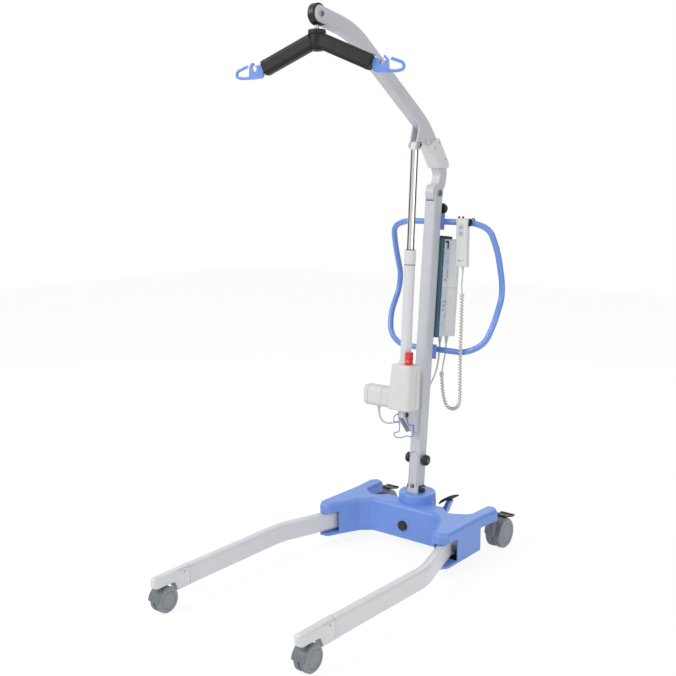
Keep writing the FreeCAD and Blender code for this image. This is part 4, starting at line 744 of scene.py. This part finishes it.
def actuator_details():
    """Seams, screws, the rod's wiper and the tube's ring."""
    up = Vector((CASE_TOP_HALF - CASE_LOW_HALF, 0, CASE_HIGH)).normalized()
    face = plane(JACK, ((CASE_LOW_HALF + CASE_TOP_HALF) / 2, 6, CASE_MIDDLE), Y, up)
    add(slab("case_seam", rounded(0.9, 124, 0.4, 2), -0.4, 0.22, face), "actuator", "seam_grey")
    for n, x in enumerate((-72, -128)):
        place = plane(JACK, (x, MOTOR_V, MOTOR_W), Y, Z)
        add(slab("motor_seam_%d" % n, rounded(58.5, 68.5, 20.2), -0.5, 0.5, place), "actuator",
            "seam_grey")
    for n, (v, w) in enumerate(((-16, 29), (20, 29), (-16, 72), (20, 72))):
        screw("motor_screw_%d" % n, "actuator", right_of(JACK, -1, MOTOR_END, v, w), 2.6, "seam_grey")
    wiper = [(12.65, 0), (16, 0), (16, 1), (14.6, 2.4), (12.65, 2.6)]
    add(turned("rod_wiper", wiper, top_of(JACK, 0, 0, COLLAR_TOP)), "actuator", "black_plastic")
    skirt = [(18.6, -0.2), (21.4, -0.2), (21.4, 9.2), (20.4, 10.3), (18.6, 10.3)]
    add(turned("release_skirt", skirt, top_of(JACK, 0, 0, RELEASE_LOW)), "release", "cap_white")
    band = [(17.5, 0), (18.5, 0), (18.5, 3.5), (17.5, 3.5)]
    add(turned("tube_ring", band, top_of(JACK, 0, 0, TUBE_RING_W)), "actuator", "seam_grey")


def ribbed(name, place, x, wide, heights, low, high):
    """A row of raised bars on the red handle."""
    shape = bmesh.new()
    for y in heights:
        prism(shape, moved(rounded(wide, 1.6, 0.7, 3), x, y), low, high)
    add(from_bmesh(name, shape, place), "release", "red_plastic")


def release_details():
    """Ribs all round the red handle, and painted shade: a flat dark red patch across its waist where the
    waist's shade falls.
    """
    face = right_of(JACK, 1, RELEASE_FACE, RELEASE_V, RELEASE_W)
    ribbed("release_ribs", face, 0, 16, (-16.5, -13.5, -10.5, 10.5, 13.5, 16.5), -0.3, 0.7)
    add(slab("release_waist_shade", rounded(19, 7, 3), -0.3, 0.35, face), "release", "painted_shade_red")
    front = front_of(JACK, 0, RELEASE_V - 13, RELEASE_W)
    back = back_of(JACK, 2 * RELEASE_X, RELEASE_V + 13, RELEASE_W)
    for n, place in enumerate((front, back)):
        ribbed("release_knurl_%d" % n, place, RELEASE_X, 11, (-16, -12.5, 12.5, 16), -0.4, 0.9)


actuator_details()
release_details()


# ---------------------------------------------------------------- boom and spreader

def boom_side(name, side):
    """Bolt heads at the lug and the tip, and the sleeve's screws, on one side of the boom."""
    bolt("lug_nut_" + name, "boom", right_of(ROOT, side, 19, LUG_Y, LUG_Z), 6.6, 3.2, "bright_chrome")
    bolt("tip_nut_" + name, "boom", right_of(ROOT, side, 20, TIP_Y, TIP_Z), 5.4, 2.8, "knob_grey")
    way, rise = Vector((0, 0.609, -0.793)), Vector((0, 0.793, 0.609))
    for n, (back, aside) in enumerate(((10, 17), (76, 17), (76, -15))):
        _, y, z = Vector((0, *BOOM_ROOT)) - way * back + rise * aside
        screw("sleeve_screw_%s_%d" % (name, n), "boom", right_of(ROOT, side, 24, y, z), 2.8, "seam_grey")


def yoke_shell():
    """The moulded shell over the spreader's middle, with a flange at its top."""
    outline = [(0, -1.5), (15, -1.5), (19, 0), (21, 3), (21.6, 20), (21.6, 37), (24, 39), (24.4, 41),
               (24.4, 48), (23, 50.4), (9, 50.4), (9, 44), (0, 44)]
    add(turned("yoke_shell", outline, top_of(SPREADER, 0, 0, YOKE_LOW), 56), "spreader", "black_pad")


def arm_band(name, side):
    """The padded bar's end band, square to the arm's slope."""
    arm = SPREADER @ Matrix.Rotation(0 if side > 0 else math.pi, 4, "Z")
    arm = arm @ Matrix.Translation((0.012, 0, 1.588)) @ Matrix.Rotation(math.atan2(66, 152), 4, "Y")
    band = slab("arm_band_" + name, rounded(36, 44, 11.4), -1.6, 1.6, plane(arm, (154, 0, 0), Y, Z))
    add(band, "spreader", "black_pad", 0.6)


for name, side in SIDES:
    boom_side(name, side)
for name, side in SIDES:
    arm_band(name, side)
yoke_shell()


# ---------------------------------------------------------------- stage, lights and camera

CAMERA_BEARING = 38.49
CARD_BEARING, CARD_TURN = 38.5, 100
CARD_SIZE, CARD_FAR, CARD_UP = 2600, 3200, 1100
FLOOR_SHARE, FLOOR_GLOW = 0.8, 1.09


def stage():
    """A pale floor that looks white and keeps the object's shadow."""
    floor = slab("floor", rounded(16000, 16000, 1000), -20, 0, ROOT)
    bpy.context.scene.collection.objects.link(floor)
    made = Nodes(bpy.data.materials.new("floor"))
    made.link(made.ramp(made.noise(3), [(0.3, linear(244, 244, 244)), (0.7, linear(247, 247, 247))]),
              made.shader.inputs["Base Color"])
    made.fill(made.shader, Roughness=0.9, Specular_IOR_Level=0.1)
    rays = made.add("ShaderNodeLightPath")
    seen = made.add("ShaderNodeMath", operation="MAXIMUM")
    made.link(rays.outputs["Is Camera Ray"], seen.inputs[0])
    made.link(rays.outputs["Is Glossy Ray"], seen.inputs[1])
    clear = made.add("ShaderNodeMath", operation="MAXIMUM")
    made.link(seen.outputs[0], clear.inputs[0])
    made.link(rays.outputs["Is Transmission Ray"], clear.inputs[1])
    share = made.add("ShaderNodeMath", operation="MULTIPLY")
    made.link(clear.outputs[0], share.inputs[0])
    share.inputs[1].default_value = FLOOR_SHARE
    glow = made.add("ShaderNodeEmission")
    glow.inputs["Strength"].default_value = FLOOR_GLOW
    blend = made.add("ShaderNodeMixShader")
    made.link(share.outputs[0], blend.inputs[0])
    made.link(made.shader.outputs[0], blend.inputs[1])
    made.link(glow.outputs[0], blend.inputs[2])
    made.link(blend.outputs[0], made.tree.nodes["Material Output"].inputs["Surface"])
    floor.data.materials.append(made.material)


def card(name, bearing):
    """A dark upright panel that only reflections see; it draws the edges of bright metal."""
    angle = math.radians(bearing)
    middle = Vector((math.sin(angle), -math.cos(angle), 0)) * CARD_FAR
    place = plane(ROOT, middle + Vector((0, 0, CARD_UP)), Z.cross(-middle.normalized()), Z)
    item = slab(name, rounded(CARD_SIZE, CARD_SIZE, 40), 0, 10, place)
    bpy.context.scene.collection.objects.link(item)
    dress(item, "shade_and_card_dark")
    for ray in ("camera", "diffuse", "transmission", "volume_scatter", "shadow"):
        setattr(item, "visible_" + ray, False)


def sky():
    """White to the eye and in reflections, and softer as light on the object."""
    world = bpy.data.worlds.new("studio")
    world.use_nodes = True
    bpy.context.scene.world = world
    tree = world.node_tree
    ground = tree.nodes["Background"]
    ground.inputs["Color"].default_value = (1, 1, 1, 1)
    rays = tree.nodes.new("ShaderNodeLightPath")
    first = tree.nodes.new("ShaderNodeMath")
    first.operation = "MAXIMUM"
    tree.links.new(rays.outputs["Is Camera Ray"], first.inputs[0])
    tree.links.new(rays.outputs["Is Transmission Ray"], first.inputs[1])
    second = tree.nodes.new("ShaderNodeMath")
    second.operation = "MAXIMUM"
    tree.links.new(first.outputs[0], second.inputs[0])
    tree.links.new(rays.outputs["Is Glossy Ray"], second.inputs[1])
    level = tree.nodes.new("ShaderNodeMapRange")
    tree.links.new(second.outputs[0], level.inputs["Value"])
    level.inputs["To Min"].default_value = 0.55
    level.inputs["To Max"].default_value = 1.0
    tree.links.new(level.outputs["Result"], ground.inputs["Strength"])


def lamp(name, power, size, at, to):
    """A round soft light that stands at one point and looks at another."""
    data = bpy.data.lights.new(name, "AREA")
    data.energy = power
    data.shape = "DISK"
    data.size = size
    item = bpy.data.objects.new(name, data)
    item.location = at
    item.rotation_euler = (Vector(to) - Vector(at)).to_track_quat("-Z", "Y").to_euler()
    bpy.context.scene.collection.objects.link(item)


def camera():
    """The camera that the main picture is taken with."""
    data = bpy.data.cameras.new("camera")
    data.lens = 50.13
    data.sensor_width = 36
    item = bpy.data.objects.new("camera", data)
    item.location = (1.6938, -2.1917, 1.2079)
    item.rotation_euler = (math.radians(80.65), 0, math.radians(CAMERA_BEARING))
    bpy.context.scene.collection.objects.link(item)
    bpy.context.scene.camera = item


stage()
card("card_left", CARD_BEARING - CARD_TURN)
card("card_right", CARD_BEARING + CARD_TURN)
sky()
lamp("key", 72, 2.2, (-1.8, -2.8, 3.0), (0, 0, 0.8))
lamp("side", 19, 2.0, (3.0, -0.6, 1.6), (0, 0, 0.8))
lamp("back", 14, 2.0, (-0.6, 3.2, 2.4), (0, 0.2, 0.9))
camera()
bpy.context.scene.view_settings.view_transform = "Standard"
